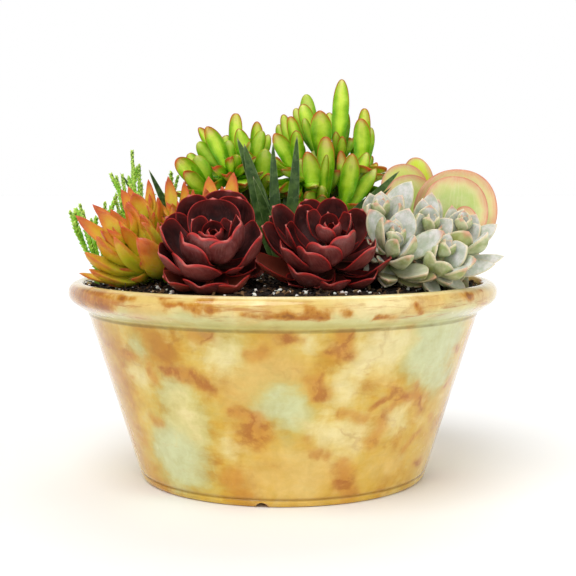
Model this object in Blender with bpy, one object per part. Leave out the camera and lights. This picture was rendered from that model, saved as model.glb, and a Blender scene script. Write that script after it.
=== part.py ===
"""Succulent dish garden: a glazed tapered pot of soil, planted with rosettes and leafy stems.

The origin is the centre of the pot's foot on the table, +Z is up and -Y is the front.
Lengths are in millimetres, and MM turns them into Blender's metres when a mesh is made.
"""

import math

import bpy
import bmesh
from mathutils import Quaternion, Vector
from mathutils.bvhtree import BVHTree

MM = 0.001
UP = Vector((0, 0, 1))
GOLDEN_ANGLE = math.radians(137.5)

# Pot
RIM_RADIUS = 107.25
RIM_TOP = 98.9
WALL_TOP_RADIUS = 97.7
WALL_TOP = 84.4
FOOT_RADIUS = 71.6
FOOT_HEIGHT = 3.8
WALL = 4.6
BASE_RAISE = 3.0
BASE_THICKNESS = 5.0
DRAIN_RADIUS = 7.0
NOTCH_RADIUS = 3.3
NOTCH_AZIMUTHS = (-97.5, 22.5, 142.5)
POT_SEGMENTS = 32

# Soil
SOIL_EDGE_RADIUS = 100.2
SOIL_EDGE = 95.2
SOIL_SEGMENTS = 18
SOIL_SHOULDER = (84.0, 98.4)
SOIL_LEVEL_RADIUS = 55.0
SOIL_CROWN = 100.0
HOLE_DEPTH = 9.0
FIT = 0.35
HOLE_SIDES = 6

# Plants. CLEARANCE is the gap kept between two of them.
CLEARANCE = 0.32
STEM_SIDES = 5
CHAIN_SIDES = 4
CHAIN_STEP = 6.2
LEAST_THICKNESS = 0.9
ROWS = {"cupped": 4, "pointed": 3, "diamond": 3, "finger": 3, "spear": 3, "paddle": 3}
SIDES = {"cupped": 6, "pointed": 4, "diamond": 4, "finger": 4, "spear": 4, "paddle": 8}

# How far a leaf may be turned to clear its neighbours: lift and turn in degrees, then length share.
BENDS = [(0, 0, 1.0)] + sorted(
    (
        (lift, turn, share)
        for lift in (-32, -24, -16, -8, 0, 8, 16, 24, 32, 42)
        for turn in (-30, -20, -10, 0, 10, 20, 30)
        for share in (1.0, 0.88, 0.76)
    ),
    key=lambda bend: abs(bend[0]) + abs(bend[1]) + 90 * (1 - bend[2]),
)

# Share of the triangles kept after a plant's leaves are fused. The plants not listed keep them all.
KEPT_FACES = {
    "echeveria_left": 0.6,
    "echeveria_right": 0.6,
    "golden_sedum_front": 0.6,
    "ghost_plant_1": 0.66,
    "ghost_plant_2": 0.66,
    "ghost_plant_3": 0.66,
    "ghost_plant_4": 0.72,
    "ghost_plant_5": 0.66,
    "jade_left": 0.5,
    "jade_right": 0.5,
    "jade_back": 0.54,
    "paddle_plant": 0.7,
    "spear_plant_centre": 0.7,
    "spear_plant_left": 0.7,
    "chain_plant_back": 0.56,
    "chain_plant_left": 0.56,
    "chain_plant_rear": 0.56,
}

# Material name, colour and roughness of each kind of leaf.
LOOKS = {
    "cupped": ("burgundy_leaf", (0.16, 0.03, 0.035), 0.35),
    "pointed": ("golden_leaf", (0.62, 0.30, 0.05), 0.4),
    "diamond": ("ghost_leaf", (0.52, 0.56, 0.47), 0.55),
    "finger": ("jade_leaf", (0.28, 0.48, 0.04), 0.35),
    "spear": ("spear_leaf", (0.05, 0.15, 0.06), 0.4),
    "paddle": ("paddle_leaf", (0.55, 0.66, 0.25), 0.45),
    "chain": ("chain_leaf", (0.28, 0.52, 0.08), 0.45),
}

# The eye of the photograph. A place on the front drawing, right and up on the plane y = 0,
# is carried along the line of sight to its own depth.
EYE = Vector((2.5, -582.8, 142.7))


def seen(right, up, depth):
    share = (depth - EYE.y) / -EYE.y
    return Vector((EYE.x + (right - EYE.x) * share, depth, EYE.z + (up - EYE.z) * share))


def soil_top(x, y):
    """Height of the soil under a stem: level in the middle, falling gently to the rim."""
    radius = math.hypot(x, y)
    shoulder_radius, shoulder = SOIL_SHOULDER
    if radius < SOIL_LEVEL_RADIUS:
        return SOIL_CROWN
    if radius < shoulder_radius:
        share = (radius - SOIL_LEVEL_RADIUS) / (shoulder_radius - SOIL_LEVEL_RADIUS)
        return SOIL_CROWN + (shoulder - SOIL_CROWN) * share
    share = (radius - shoulder_radius) / (SOIL_EDGE_RADIUS - shoulder_radius)
    return shoulder + (SOIL_EDGE - shoulder) * share


def stem_foot(x, y):
    return Vector((x, y, soil_top(x, y) - HOLE_DEPTH + FIT))


# Leaf forms: width at the root, place of the widest part, thickness, cup and curl as shares of
# the width or length, and how blunt the end is.
FORMS = {
    "cupped": dict(root=0.16, widest=0.66, thick=0.11, cup=0.26, curl=0.12, blunt=2.3),
    "pointed": dict(root=0.34, widest=0.42, thick=0.42, cup=0.08, curl=0.09, blunt=1.6),
    "diamond": dict(root=0.22, widest=0.58, thick=0.30, cup=0.10, curl=0.07, blunt=1.6),
    "finger": dict(root=0.28, widest=0.70, thick=0.42, cup=0.05, curl=0.05, blunt=2.0),
    "spear": dict(root=0.86, widest=0.22, thick=0.34, cup=0.12, curl=0.03, blunt=1.15),
    "paddle": dict(root=0.26, widest=0.56, thick=0.06, cup=0.05, curl=0.04, blunt=2.1),
}


# How much a shown leaf turns its face to the front, and how its width is read off the drawing.
TOWARDS_VIEW = {"cupped": 0.0, "pointed": 0.5, "diamond": 0.5, "finger": 3.0, "spear": 3.0}
STOUT = {"cupped": 1.0, "pointed": 1.25, "diamond": 1.22, "finger": 1.08, "spear": 1.15}


def width_share(form, t):
    if t < form["widest"]:
        return form["root"] + (1 - form["root"]) * math.sin(0.5 * math.pi * t / form["widest"])
    beyond = (t - form["widest"]) / (1 - form["widest"])
    return (1 - beyond ** form["blunt"]) ** (1 / form["blunt"])


def leaf_mesh(leaf, grow=0.0):
    """A closed blade from root to tip. grow thickens it on every side, for testing clearance."""
    form = FORMS[leaf["form"]]
    rows, sides = ROWS[leaf["form"]], SIDES[leaf["form"]]
    if leaf.get("plain"):
        rows, sides = rows - 1, 4
    along = leaf["tip"] - leaf["root"]
    length = along.length + grow
    along.normalize()
    face = (leaf["face"] - leaf["face"].dot(along) * along).normalized()
    side = along.cross(face)
    width = leaf["width"]
    round_end = min(1.0, max(0.0, form["blunt"] - 1.0))
    points = []
    for row in range(rows):
        x = row / rows
        t = (1 - round_end) * x + round_end * math.sin(0.5 * math.pi * x)
        share = width_share(form, t)
        thick = form["thick"] * width * share ** 0.6 * (1 - 0.25 * t)
        thick = max(thick, LEAST_THICKNESS) / 2 + grow
        half = width * share / 2 + grow
        drop = 4 * form["curl"] * length * t * (1 - t)
        for turn in range(sides):
            angle = 2 * math.pi * turn / sides
            across = math.cos(angle)
            lift = thick * math.sin(angle) + form["cup"] * width * share * across ** 2 - drop
            points.append(leaf["root"] + along * (t * length) + side * (half * across) + face * lift)
    points.append(leaf["tip"] + along * grow)
    faces = [tuple(reversed(range(sides)))]
    for row in range(rows - 1):
        for turn in range(sides):
            a = row * sides + turn
            b = row * sides + (turn + 1) % sides
            faces.append((a, b, b + sides))
            faces.append((a, b + sides, a + sides))
    last = (rows - 1) * sides
    for turn in range(sides):
        faces.append((last + turn, last + (turn + 1) % sides, last + sides))
    return points, faces


def tube_mesh(path, radii, sides):
    """A closed tube along a list of points, with its own radius at each."""
    points = []
    side = None
    for i, (centre, radius) in enumerate(zip(path, radii)):
        ahead = (path[min(i + 1, len(path) - 1)] - path[max(i - 1, 0)]).normalized()
        if side is None:
            side = Vector((1, 0, 0)) if abs(ahead.x) < 0.9 else Vector((0, 1, 0))
        side = (side - side.dot(ahead) * ahead).normalized()
        other = ahead.cross(side)
        for k in range(sides):
            angle = 2 * math.pi * k / sides
            points.append(centre + (side * math.cos(angle) + other * math.sin(angle)) * radius)
    faces = [tuple(reversed(range(sides)))]
    for i in range(len(path) - 1):
        for k in range(sides):
            a = i * sides + k
            b = i * sides + (k + 1) % sides
            faces.append((a, b, b + sides))
            faces.append((a, b + sides, a + sides))
    last = (len(path) - 1) * sides
    faces.append(tuple(range(last, last + sides)))
    return points, faces


def bent_path(start, lift, end, pull, count):
    """Points from start, rising by lift, then round to end, which the path reaches along pull."""
    first = start + UP * lift
    near = first + UP * (0.35 * (end - first).length)
    far = end - pull * (0.35 * (end - first).length)
    path = [start]
    for i in range(count):
        t = i / (count - 1)
        outer = first * (1 - t) ** 3 + end * t ** 3
        path.append(outer + near * (3 * t * (1 - t) ** 2) + far * (3 * t * t * (1 - t)))
    return path


def axis_of(tilt, azimuth):
    """A unit axis leaning by tilt degrees from straight up towards azimuth degrees (0 is +X)."""
    lean = math.radians(tilt)
    turn = math.radians(azimuth)
    return Vector((math.sin(lean) * math.cos(turn), math.sin(lean) * math.sin(turn), math.cos(lean)))


def listed_leaf(head, axis, spec, form, span, core):
    """A leaf whose tip shows at (right, up) on the front drawing, this far behind its head."""
    right, up, behind, width = spec
    tip = seen(right, up, head.y + behind)
    out = tip - head
    opening = out.angle(axis)
    radial = out - out.dot(axis) * axis
    radial = radial.normalized() if radial.length > 1e-6 else axis.orthogonal().normalized()
    root = head - axis * (span * min(opening / (0.5 * math.pi), 1.25)) + radial * core
    face = axis + TOWARDS_VIEW[form] * Vector((0, -1, 0))
    return dict(root=root, tip=tip, face=face, width=width * STOUT[form], form=form)


def ruled_leaf(head, axis, form, opening, azimuth, length, width, span, core):
    """A leaf placed by its angle from the axis and its turn about it."""
    first = axis.orthogonal().normalized()
    radial = Quaternion(axis, azimuth) @ first
    out = axis * math.cos(opening) + radial * math.sin(opening)
    root = head - axis * (span * min(opening / (0.5 * math.pi), 1.25)) + radial * core
    return dict(root=root, tip=root + out * length, face=axis.copy(), width=width, form=form, plain=True)


def rosette_leaves(plant):
    """The leaves that the photograph shows, then leaves by the golden angle on the hidden side."""
    head, axis, form = plant["head"], plant["axis"], plant["form"]
    span, core = plant["span"], plant["core"]
    leaves = [listed_leaf(head, axis, spec, form, span, core) for spec in plant["shown"]]
    shown = [(leaf["tip"] - leaf["root"]).normalized() for leaf in leaves]
    count, length, width, inner, outer = plant["filled"]
    for k in range(count):
        share = (k + 0.5) / count
        opening = math.radians(inner + (outer - inner) * share)
        size = 0.55 + 0.45 * share
        turn = k * GOLDEN_ANGLE + plant["turn"]
        leaf = ruled_leaf(head, axis, form, opening, turn, length * size, width * size, span, core)
        out = (leaf["tip"] - leaf["root"]).normalized()
        hidden = out.y >= plant["back"] and all(out.angle(other) >= plant["gap"] for other in shown)
        if hidden or not shown:
            leaves.append(leaf)
    return leaves


def rosette(name, form, soil, head, axis, span, core, filled, shown=(), turn=0.0, back=0.1):
    """One rosette on its stem. soil is where the stem stands and head is its heart.

    filled is (count, length, width, inner angle, outer angle) of the leaves placed by rule, and
    span is the length of stem that carries leaves.
    """
    stem = 3.0
    axis = axis_of(*axis)
    plant = dict(
        name=name, form=form, head=head, axis=axis, span=span, core=core, shown=shown,
        filled=filled, turn=turn, gap=0.45, soil=soil, stem=stem, back=back,
    )
    foot = stem_foot(*soil)
    path = bent_path(foot, HOLE_DEPTH + 3.0, head - axis * span, axis, 4)
    radii = [stem] * (len(path) - 1) + [core + 0.6]
    path += [head - axis * (0.45 * span), head - axis * 0.5]
    radii += [core, 0.9]
    plant["tubes"] = [(path, radii)]
    plant["leaves"] = rosette_leaves(plant)
    return plant


def branching(name, form, soil, heads):
    """A branching plant. Each head is (place, axis, filled, shown, turn), as in a rosette."""
    stem, span, core = 3.4, 5.0, 1.6
    foot = stem_foot(*soil)
    fork = foot + UP * (HOLE_DEPTH + 6.0)
    plant = dict(name=name, form=form, soil=soil, stem=stem, leaves=[])
    trunk = [foot, foot + UP * HOLE_DEPTH, fork, fork + UP * 3]
    plant["tubes"] = [(trunk, [stem, stem, stem, stem * 0.8])]
    for place, axis, filled, shown, turn in heads:
        lean = axis_of(*axis)
        path = bent_path(fork, 1.0, place - lean, lean, 3) + [place]
        radii = [stem * 0.8] + [stem * 0.72] * (len(path) - 2) + [core * 0.8]
        plant["tubes"].append((path, radii))
        head = dict(
            head=place, axis=lean, form=form, span=span, core=core, shown=shown,
            filled=filled, turn=turn, gap=0.5, back=-0.35,
        )
        plant["leaves"] += rosette_leaves(head)
    return plant


def spear_plant(name, soil, shown, turn):
    """Stiff tapering leaves that rise together from a short crown in the soil."""
    foot = stem_foot(*soil)
    crown = foot + UP * (HOLE_DEPTH + 4.0)
    plant = dict(name=name, form="spear", soil=soil, stem=4.6, leaves=[])
    path = [foot, foot + UP * HOLE_DEPTH, crown, crown + UP * 3]
    plant["tubes"] = [(path, [4.6, 4.6, 3.6, 1.5])]
    for right, up, depth, width in shown:
        tip = seen(right, up, depth)
        out = (tip - crown).normalized()
        face = UP + TOWARDS_VIEW["spear"] * Vector((0, -1, 0))
        leaf = dict(root=crown - out, tip=tip, face=face, width=width, form="spear")
        plant["leaves"].append(leaf)
    for k in range(3):
        azimuth = math.radians(turn + 55 * k)
        out = Vector((0.4 * math.cos(azimuth), 0.4 * math.sin(azimuth), 1)).normalized()
        tip = crown + out * (34 + 5 * k)
        leaf = dict(root=crown - out, tip=tip, face=UP.copy(), width=6.4, form="spear", plain=True)
        plant["leaves"].append(leaf)
    return plant


def paddle_plant(name, soil, discs):
    """Broad round leaves on a short stem: (root right, root up, tip right, tip up, depth, width)."""
    foot = stem_foot(*soil)
    plant = dict(name=name, form="paddle", soil=soil, stem=3.6, leaves=[])
    top = foot + UP * (HOLE_DEPTH + 9.0)
    trunk = [foot, foot + UP * HOLE_DEPTH, foot + UP * (HOLE_DEPTH + 4), top]
    plant["tubes"] = [(trunk, [3.6, 3.6, 3.4, 2.6])]
    face = Vector((0, -1, 0.25))
    for low_right, low, right, high, depth, width in discs:
        root = seen(low_right, low, depth)
        tip = seen(right, high, depth + 2)
        plant["leaves"].append(dict(root=root, tip=tip, face=face, width=width, form="paddle"))
        stalk = [top - UP * 3, (top + root) / 2 - UP, root + (tip - root) * 0.12]
        plant["tubes"].append((stalk, [2.4, 2.0, 1.6]))
    return plant


def chain_plant(name, soil, tips):
    """Slender stems, each a close stack of four-ranked scale leaves, from one crown in the soil."""
    foot = stem_foot(*soil)
    crown = foot + UP * (HOLE_DEPTH + 3.0)
    plant = dict(name=name, form="chain", soil=soil, stem=4.0, leaves=[])
    path = [foot, foot + UP * HOLE_DEPTH, crown, crown + UP * 2.5]
    plant["tubes"] = [(path, [4.0, 4.0, 4.0, 2.0])]
    plant["chains"] = [dict(root=crown.copy(), tip=seen(*tip), radius=2.0) for tip in tips]
    return plant


# Places of leaf tips and heads as (right, up, depth, width) on the front drawing, read by eye.
ECHEVERIA_LEFT = (
    (-35.5, 139, 13, 22), (-47.5, 140.5, 15, 17), (-22, 139.5, 15, 20), (-27, 143, 20, 22),
    (-62, 124.5, -3, 18), (-59, 129.5, 8, 17), (-63, 111.5, -11, 17), (-50, 117, -12, 19),
    (-21.5, 127, -8, 17), (-49, 105.5, -19, 21), (-11, 121, -4, 23), (-58, 97, -14, 16),
    (-42.5, 94.5, -19, 18), (-38, 125, 3, 11), (-33.5, 126.5, 2, 11), (-24, 95, -16, 18),
)
ECHEVERIA_RIGHT = (
    (25.5, 139.5, 11, 14), (33, 130.5, 6, 9), (40, 133.5, 12, 13), (8.5, 135.5, 10, 13),
    (11.5, 138.5, 18, 14), (-5, 135, 10, 14), (1.5, 125.5, -2, 13), (-6.5, 130, 14, 12),
    (-10.5, 125, 2, 14), (-13.5, 107.5, -6, 15), (-0.5, 114.5, -15, 15), (7, 101.5, -20, 17),
    (32.5, 120.5, -12, 15), (46.5, 115, -12, 15), (54.5, 109, -4, 15), (25.5, 123, -4, 11),
    (24, 127.5, 4, 12), (24, 95.5, -17, 16), (46, 99, -12, 14),
)
SEDUM_FRONT = (
    (-104.5, 130.5, -2, 6.5), (-96, 136, 6, 6), (-93.5, 133, -4, 6.5), (-87, 133.5, 6, 6),
    (-82, 125, -9, 6), (-92, 123, -10, 5), (-94, 120, -14, 8), (-85.5, 120, -15, 7),
    (-74, 119, -22, 10.5), (-100, 112, -12, 8), (-98, 103.5, -10, 6.5),
    (-103, 101.5, 0, 5), (-71.5, 127, -10, 7), (-72, 131, -4, 7), (-79, 137, 0, 8),
)
SEDUM_MIDDLE = (
    (-81.5, 143.5, 4, 6), (-78, 145, 8, 5), (-75.5, 142, -5, 8), (-69, 135.5, -9, 5),
    (-68, 148.5, 4, 5), (-63.5, 139.5, -6, 5),
)
SEDUM_BEHIND = (
    (-58, 150, 0, 5), (-62, 147.5, 8, 5), (-50, 147.5, 6, 5), (-56, 136.5, -8, 5), (-45.5, 143.5, 4, 5),
)
SEDUM_BACK = (
    (-37.5, 150, 6, 7), (-25, 152, 4, 8), (-39, 144, -5, 6), (-31, 145, -6, 6), (-44, 141, 2, 6),
)
GHOST_1 = (
    (44, 141.5, 4, 8), (49.5, 142.5, 5, 9), (64.5, 147.5, 2, 10), (60, 140.5, -5, 8),
    (60, 134.5, -9, 7), (43, 136, -8, 8),
)
GHOST_2 = (
    (44, 133.5, -1, 9), (53.5, 128, -6, 8), (63.5, 134, 3, 10), (49.5, 124.5, -14, 7),
    (58, 122, -9, 6), (66.5, 119.5, -13, 8), (54, 118.5, -15, 6), (81, 122.5, -6, 9),
    (64, 110.5, -20, 8), (73, 101.5, -16, 9), (77.5, 99.5, -8, 7), (53.5, 98, -12, 7),
)
GHOST_3 = (
    (70.5, 139, 2, 7), (75, 142, 6, 8), (74.5, 135.5, -3, 8), (83, 128.5, -6, 8),
    (78.5, 138.5, 8, 7), (69, 131.5, -6, 7),
)
GHOST_4 = (
    (93, 115, -6, 10), (97.5, 108.5, -7, 8), (111.5, 110, 6, 6), (107, 106, 2, 7),
    (93, 104, -16, 8), (81.5, 121.5, 2, 7), (78.5, 115.5, -9, 6), (73, 111, -12, 8), (83, 107, -16, 8),
)
GHOST_5 = (
    (84, 135, 4, 7), (91, 133.5, 2, 9), (97.5, 131, 2, 8), (99.5, 125.5, -5, 8),
    (108, 126, 4, 7), (103, 121, -14, 10), (87, 119.5, -14, 9),
)
NONE = (0, 1, 1, 0, 1)
SPEARS_CENTRE = (
    (-23, 169.5, -16, 6.5), (-19.5, 166.5, -20, 7), (-15, 150, -26, 4.5), (-5, 167, -18, 6.2),
    (7, 170.5, -20, 6.4), (58.5, 153, -26, 7), (54.5, 145, -20, 4.5),
)
SPEARS_LEFT = ((-82, 152, 14, 6.5), (-67.5, 153.5, 10, 6.5))
PADDLES = (
    (86.5, 106, 89.5, 154, -20.5, 41), (84, 110, 88, 150.5, -27, 32.5), (68, 119, 61, 151, -14, 26),
    (69, 128, 66.5, 160, -4, 26), (92, 118, 92, 135.5, -33, 12),
)
CHAINS_LEFT_BACK = (
    (-76, 162.5, 10), (-81, 150.5, 6), (-78, 151, 14), (-72.5, 155.5, 12), (-65.5, 154, 16),
    (-58.5, 157.5, 18), (-71.5, 146, 2), (-84, 137, 2),
)
CHAINS_LEFT_FRONT = (
    (-107.5, 132, -10), (-102.5, 135.5, -4), (-101, 132, -14), (-90, 136.5, -4), (-97, 128, 4),
)


def jade_left_heads():
    few = (9, 26, 9, 20, 105)
    return (
        (seen(-27, 154.5, 2), (14, 170), few, (
            (-42.5, 175, 6, 7), (-38.5, 175.5, -3, 9), (-43, 167.5, -4, 8.5), (-29, 171, 8, 7),
            (-27.5, 168.5, -3, 7), (-23.5, 182, 4, 7.5), (-23, 161, -9, 6.5)), 0.4),
        (seen(-38, 143, -2), (28, 175), few, (
            (-53.5, 159.5, -4, 10.5), (-47.5, 162, 6, 8), (-43.5, 161, -5, 10.5), (-50, 153, -9, 8),
            (-35.5, 158.5, 8, 8)), 1.3),
        (seen(-15.5, 155.5, 4), (6, 30), few, (
            (-22.5, 174.5, -5, 8.5), (-13, 178, 2, 7), (-10.5, 173.5, -4, 7), (-7, 171.5, 4, 7),
            (-17.5, 169.5, 8, 7), (-18.5, 163.5, -8, 6)), 2.0),
        (seen(-8.5, 142.5, 2), (8, -60), NONE, (
            (-9, 164.5, -6, 10), (-7.5, 152, -9, 8), (-12.5, 159.5, 6, 8)), 0.0),
    )


def jade_right_heads():
    few = (9, 26, 9, 20, 105)
    return (
        (seen(7, 154.5, 4), (16, 180), few, (
            (-2.5, 176.5, 6, 7), (0, 181.5, 4, 6.5), (3.5, 180.5, 0, 7), (-4.5, 172, -5, 9),
            (6.5, 173.5, -9, 7.5), (8.5, 167.5, 8, 7)), 0.0),
        (seen(19, 162.5, 4), (6, 120), NONE, (
            (11.5, 191.5, 6, 9), (9.5, 186.5, 2, 8.5), (6, 184.5, 8, 7), (10.5, 179.5, -3, 5),
            (18.5, 183.5, -8, 11.5), (23.5, 182.5, 10, 8)), 0.0),
        (seen(28, 161, 8), (6, 30), few, (
            (29.5, 199, -2, 9), (31.5, 184, 2, 7), (26.5, 173, -6, 5), (30, 170.5, -8, 5),
            (34.5, 169.5, 8, 6)), 1.0),
        (seen(40, 152.5, 10), (10, 20), few, (
            (41, 184.5, 2, 7.5), (39, 179.5, -5, 9.5), (44.5, 175, 4, 7), (36.5, 171, 8, 7)), 2.0),
        (seen(19, 135.5, -4), (14, -90), NONE, (
            (21.5, 170.5, -4, 9.5), (12, 163, -6, 10), (8.5, 159.5, -1, 7), (22, 161.5, -10, 4.5),
            (12, 142.5, -9, 9), (20, 141, -9, 7), (15.5, 163.5, 6, 8)), 0.0),
        (seen(32, 135.5, -2), (16, -30), NONE, (
            (35, 162, -5, 10), (42.5, 162.5, 1, 8), (47, 154.5, -3, 8), (47.5, 157.5, 5, 7),
            (29, 163.5, 4, 6.5)), 0.0),
    )


def jade_back_heads():
    many = (11, 30, 10.5, 15, 90)
    return (
        (Vector((-16, 46, 136)), (25, 120), many, (), 0.2),
        (Vector((4, 58, 130)), (25, 80), many, (), 1.1),
        (Vector((24, 46, 137)), (20, 50), many, (), 2.3),
    )


def planting():
    """Every plant, the ones at the front first, because later leaves give way to earlier ones."""
    return [
        rosette("echeveria_left", "cupped", (-34, -56), seen(-35, 117, -66), (38, -90), 15, 3.6,
                (12, 27, 19, 40, 100), ECHEVERIA_LEFT),
        rosette("echeveria_right", "cupped", (22, -54), seen(24, 119.5, -62), (34, -90), 16, 3.6,
                (12, 30, 17, 40, 100), ECHEVERIA_RIGHT),
        rosette("golden_sedum_front", "pointed", (-66, -38), seen(-80.5, 121.5, -44), (38, 200), 23, 2.6,
                (16, 22, 8.5, 30, 105), SEDUM_FRONT, back=-0.6),
        rosette("ghost_plant_2", "diamond", (56, -50), seen(57, 119, -58), (38, -80), 14, 2.6,
                (16, 17, 10, 30, 112), GHOST_2, back=-1.1),
        rosette("ghost_plant_4", "diamond", (78, -46), seen(81.5, 112.5, -56), (40, -60), 12, 2.6,
                (14, 16, 10, 30, 112), GHOST_4, back=-1.1),
        rosette("ghost_plant_1", "diamond", (48, -36), seen(49.5, 132.5, -44), (30, -90), 15, 2.4,
                (16, 17, 10, 30, 112), GHOST_1, back=-1.1),
        paddle_plant("paddle_plant", (80, -8), PADDLES),
        rosette("ghost_plant_3", "diamond", (72, -36), seen(74.5, 125.5, -47), (30, -70), 15, 2.4,
                (14, 15, 9, 30, 112), GHOST_3, back=-1.1),
        rosette("ghost_plant_5", "diamond", (86, -34), seen(91, 125.5, -46), (32, -70), 15, 2.4,
                (12, 14, 9, 30, 112), GHOST_5, back=-1.1),
        rosette("golden_sedum_middle", "pointed", (-72, -16), seen(-72, 131.5, -22), (18, 180), 14, 2.2,
                (12, 20, 7, 25, 95), SEDUM_MIDDLE, back=-1.1),
        rosette("golden_sedum_behind", "pointed", (-54, -20), seen(-54, 131.5, -24), (12, 180), 14, 2.2,
                (9, 18, 6.5, 25, 90), SEDUM_BEHIND, back=-1.1),
        rosette("golden_sedum_back", "pointed", (-34, -22), seen(-34, 132.5, -26), (10, 120), 14, 2.2,
                (9, 18, 6.5, 25, 90), SEDUM_BACK, back=-1.1),
        spear_plant("spear_plant_centre", (0, -18), SPEARS_CENTRE, 30),
        branching("jade_right", "finger", (24, 12), jade_right_heads()),
        branching("jade_left", "finger", (-26, 14), jade_left_heads()),
        spear_plant("spear_plant_left", (-48, 12), SPEARS_LEFT, 60),
        chain_plant("chain_plant_back", (-74, 12), CHAINS_LEFT_BACK),
        chain_plant("chain_plant_left", (-92, 0), CHAINS_LEFT_FRONT),
        branching("jade_back", "finger", (4, 44), jade_back_heads()),
        rosette("echeveria_back", "cupped", (-36, 62), Vector((-38, 70, 116)), (34, 115), 13, 3.6,
                (20, 31, 20, 12, 95)),
        rosette("golden_sedum_rear", "pointed", (-72, 42), Vector((-76, 48, 124)), (24, 150), 18, 2.4,
                (22, 27, 9, 12, 98)),
        rosette("ghost_plant_back", "diamond", (40, 70), Vector((44, 78, 116)), (28, 60), 9, 2.4,
                (18, 25, 12.5, 14, 98)),
        rosette("ghost_plant_rear", "diamond", (6, 84), Vector((6, 86, 114)), (26, 90), 10, 2.4,
                (15, 22, 11, 16, 96), turn=0.5),
        rosette("echeveria_rear", "cupped", (72, 42), Vector((76, 48, 114)), (32, 30), 12, 3.4,
                (17, 30, 19, 12, 95)),
        chain_plant("chain_plant_rear", (-12, 66), (
            (-14, 140, 70), (-4, 136, 66), (-18, 124, 90), (2, 130, 74))),
    ]


def tree_of(points, faces):
    return BVHTree.FromPolygons([tuple(p) for p in points], faces)


def box_of(points):
    low = Vector([min(p[i] for p in points) for i in range(3)])
    high = Vector([max(p[i] for p in points) for i in range(3)])
    return low, high


def obstacle(points, faces):
    return box_of(points), tree_of(points, faces)


def boxes_meet(a, b):
    return all(a[0][i] < b[1][i] and b[0][i] < a[1][i] for i in range(3))


def is_clear(points, faces, obstacles):
    box = box_of(points)
    near = [tree for other, tree in obstacles if boxes_meet(box, other)]
    if not near:
        return True
    mine = tree_of(points, faces)
    return not any(mine.overlap(tree) for tree in near)


def bent(leaf, lift, turn, share):
    out = leaf["tip"] - leaf["root"]
    level = out.cross(UP)
    level = level.normalized() if level.length > 1e-6 else Vector((1, 0, 0))
    spin = Quaternion(UP, math.radians(turn)) @ Quaternion(level, math.radians(lift))
    return dict(leaf, tip=leaf["root"] + (spin @ out) * share, face=spin @ leaf["face"])


def inside_bounds(points):
    return all(abs(p.x) < RIM_RADIUS - 0.2 and abs(p.y) < RIM_RADIUS - 0.2 for p in points)


def chain_mesh(chain, grow=0.0):
    """A leaning stem that curves upright, as thick and thin rings of scale leaves."""
    root, tip = chain["root"], chain["tip"]
    reach = tip - root
    middle = root + Vector((reach.x * 0.62, reach.y * 0.62, reach.z * 0.42))
    count = max(4, int(reach.length / CHAIN_STEP))
    path, radii = [], []
    for i in range(2 * count + 1):
        t = i / (2 * count)
        path.append(root * (1 - t) ** 2 + middle * (2 * t * (1 - t)) + tip * t ** 2)
        radii.append(chain["radius"] * (1.0 if i % 2 else 0.72) * (1 - 0.25 * t ** 4) + grow)
    radii[-1] = chain["radius"] * 0.35 + grow
    return tube_mesh(path, radii, CHAIN_SIDES)


def parts_of(plant, grow=0.0):
    """The coarse closed shapes of a plant: its stems, its leaves and its chains of scales."""
    shapes = [tube_mesh(path, [r + grow for r in radii], STEM_SIDES) for path, radii in plant["tubes"]]
    for leaf in plant["leaves"]:
        shapes.append(leaf_mesh(leaf, grow))
    for chain in plant.get("chains", ()):
        shapes.append(chain_mesh(chain, grow))
    return shapes


def settle(plants, fixed):
    """Turns each leaf by the least bend that clears the pot, the soil and the plants before it.

    A leaf that no bend clears is left out.
    """
    stems = {}
    for plant in plants:
        shapes = [tube_mesh(path, radii, STEM_SIDES) for path, radii in plant["tubes"]]
        stems[plant["name"]] = [obstacle(*shape) for shape in shapes]
    placed = []
    for plant in plants:
        around = list(fixed) + placed
        for other, trees in stems.items():
            if other != plant["name"]:
                around += trees
        for key in ("leaves", "chains"):
            kept = []
            for item in plant.get(key, ()):
                for lift, turn, share in BENDS:
                    trial = bent(dict(item, face=item.get("face", UP)), lift, turn, share)
                    if key == "leaves":
                        shape = leaf_mesh(trial, CLEARANCE)
                    else:
                        shape = chain_mesh(trial, CLEARANCE)
                    if inside_bounds(shape[0]) and is_clear(*shape, around):
                        kept.append(trial)
                        break
            plant[key] = kept
        placed += [obstacle(*shape) for shape in parts_of(plant)]


# Pot and soil


def lathe_mesh(profile, segments, closed_ring):
    """A turned body. The profile is (radius, height); a closed ring never reaches the axis."""
    points = []
    for radius, height in profile:
        for k in range(segments):
            angle = 2 * math.pi * k / segments
            points.append(Vector((radius * math.cos(angle), radius * math.sin(angle), height)))
    faces = []
    rings = len(profile)
    for i in range(rings if closed_ring else rings - 1):
        nxt = (i + 1) % rings
        for k in range(segments):
            other = (k + 1) % segments
            low, high = i * segments, nxt * segments
            faces.append((low + k, low + other, high + other, high + k))
    if not closed_ring:
        faces.append(tuple(reversed(range(segments))))
        faces.append(tuple(range((rings - 1) * segments, rings * segments)))
    return points, faces


def wall_radius(height):
    """Outer radius of the straight wall, between the foot band and the ledge under the rim."""
    share = (height - FOOT_HEIGHT) / (WALL_TOP - 4.0 - FOOT_HEIGHT)
    return FOOT_RADIUS + 1.6 + (WALL_TOP_RADIUS - 1.0 - FOOT_RADIUS - 1.6) * share


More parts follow.
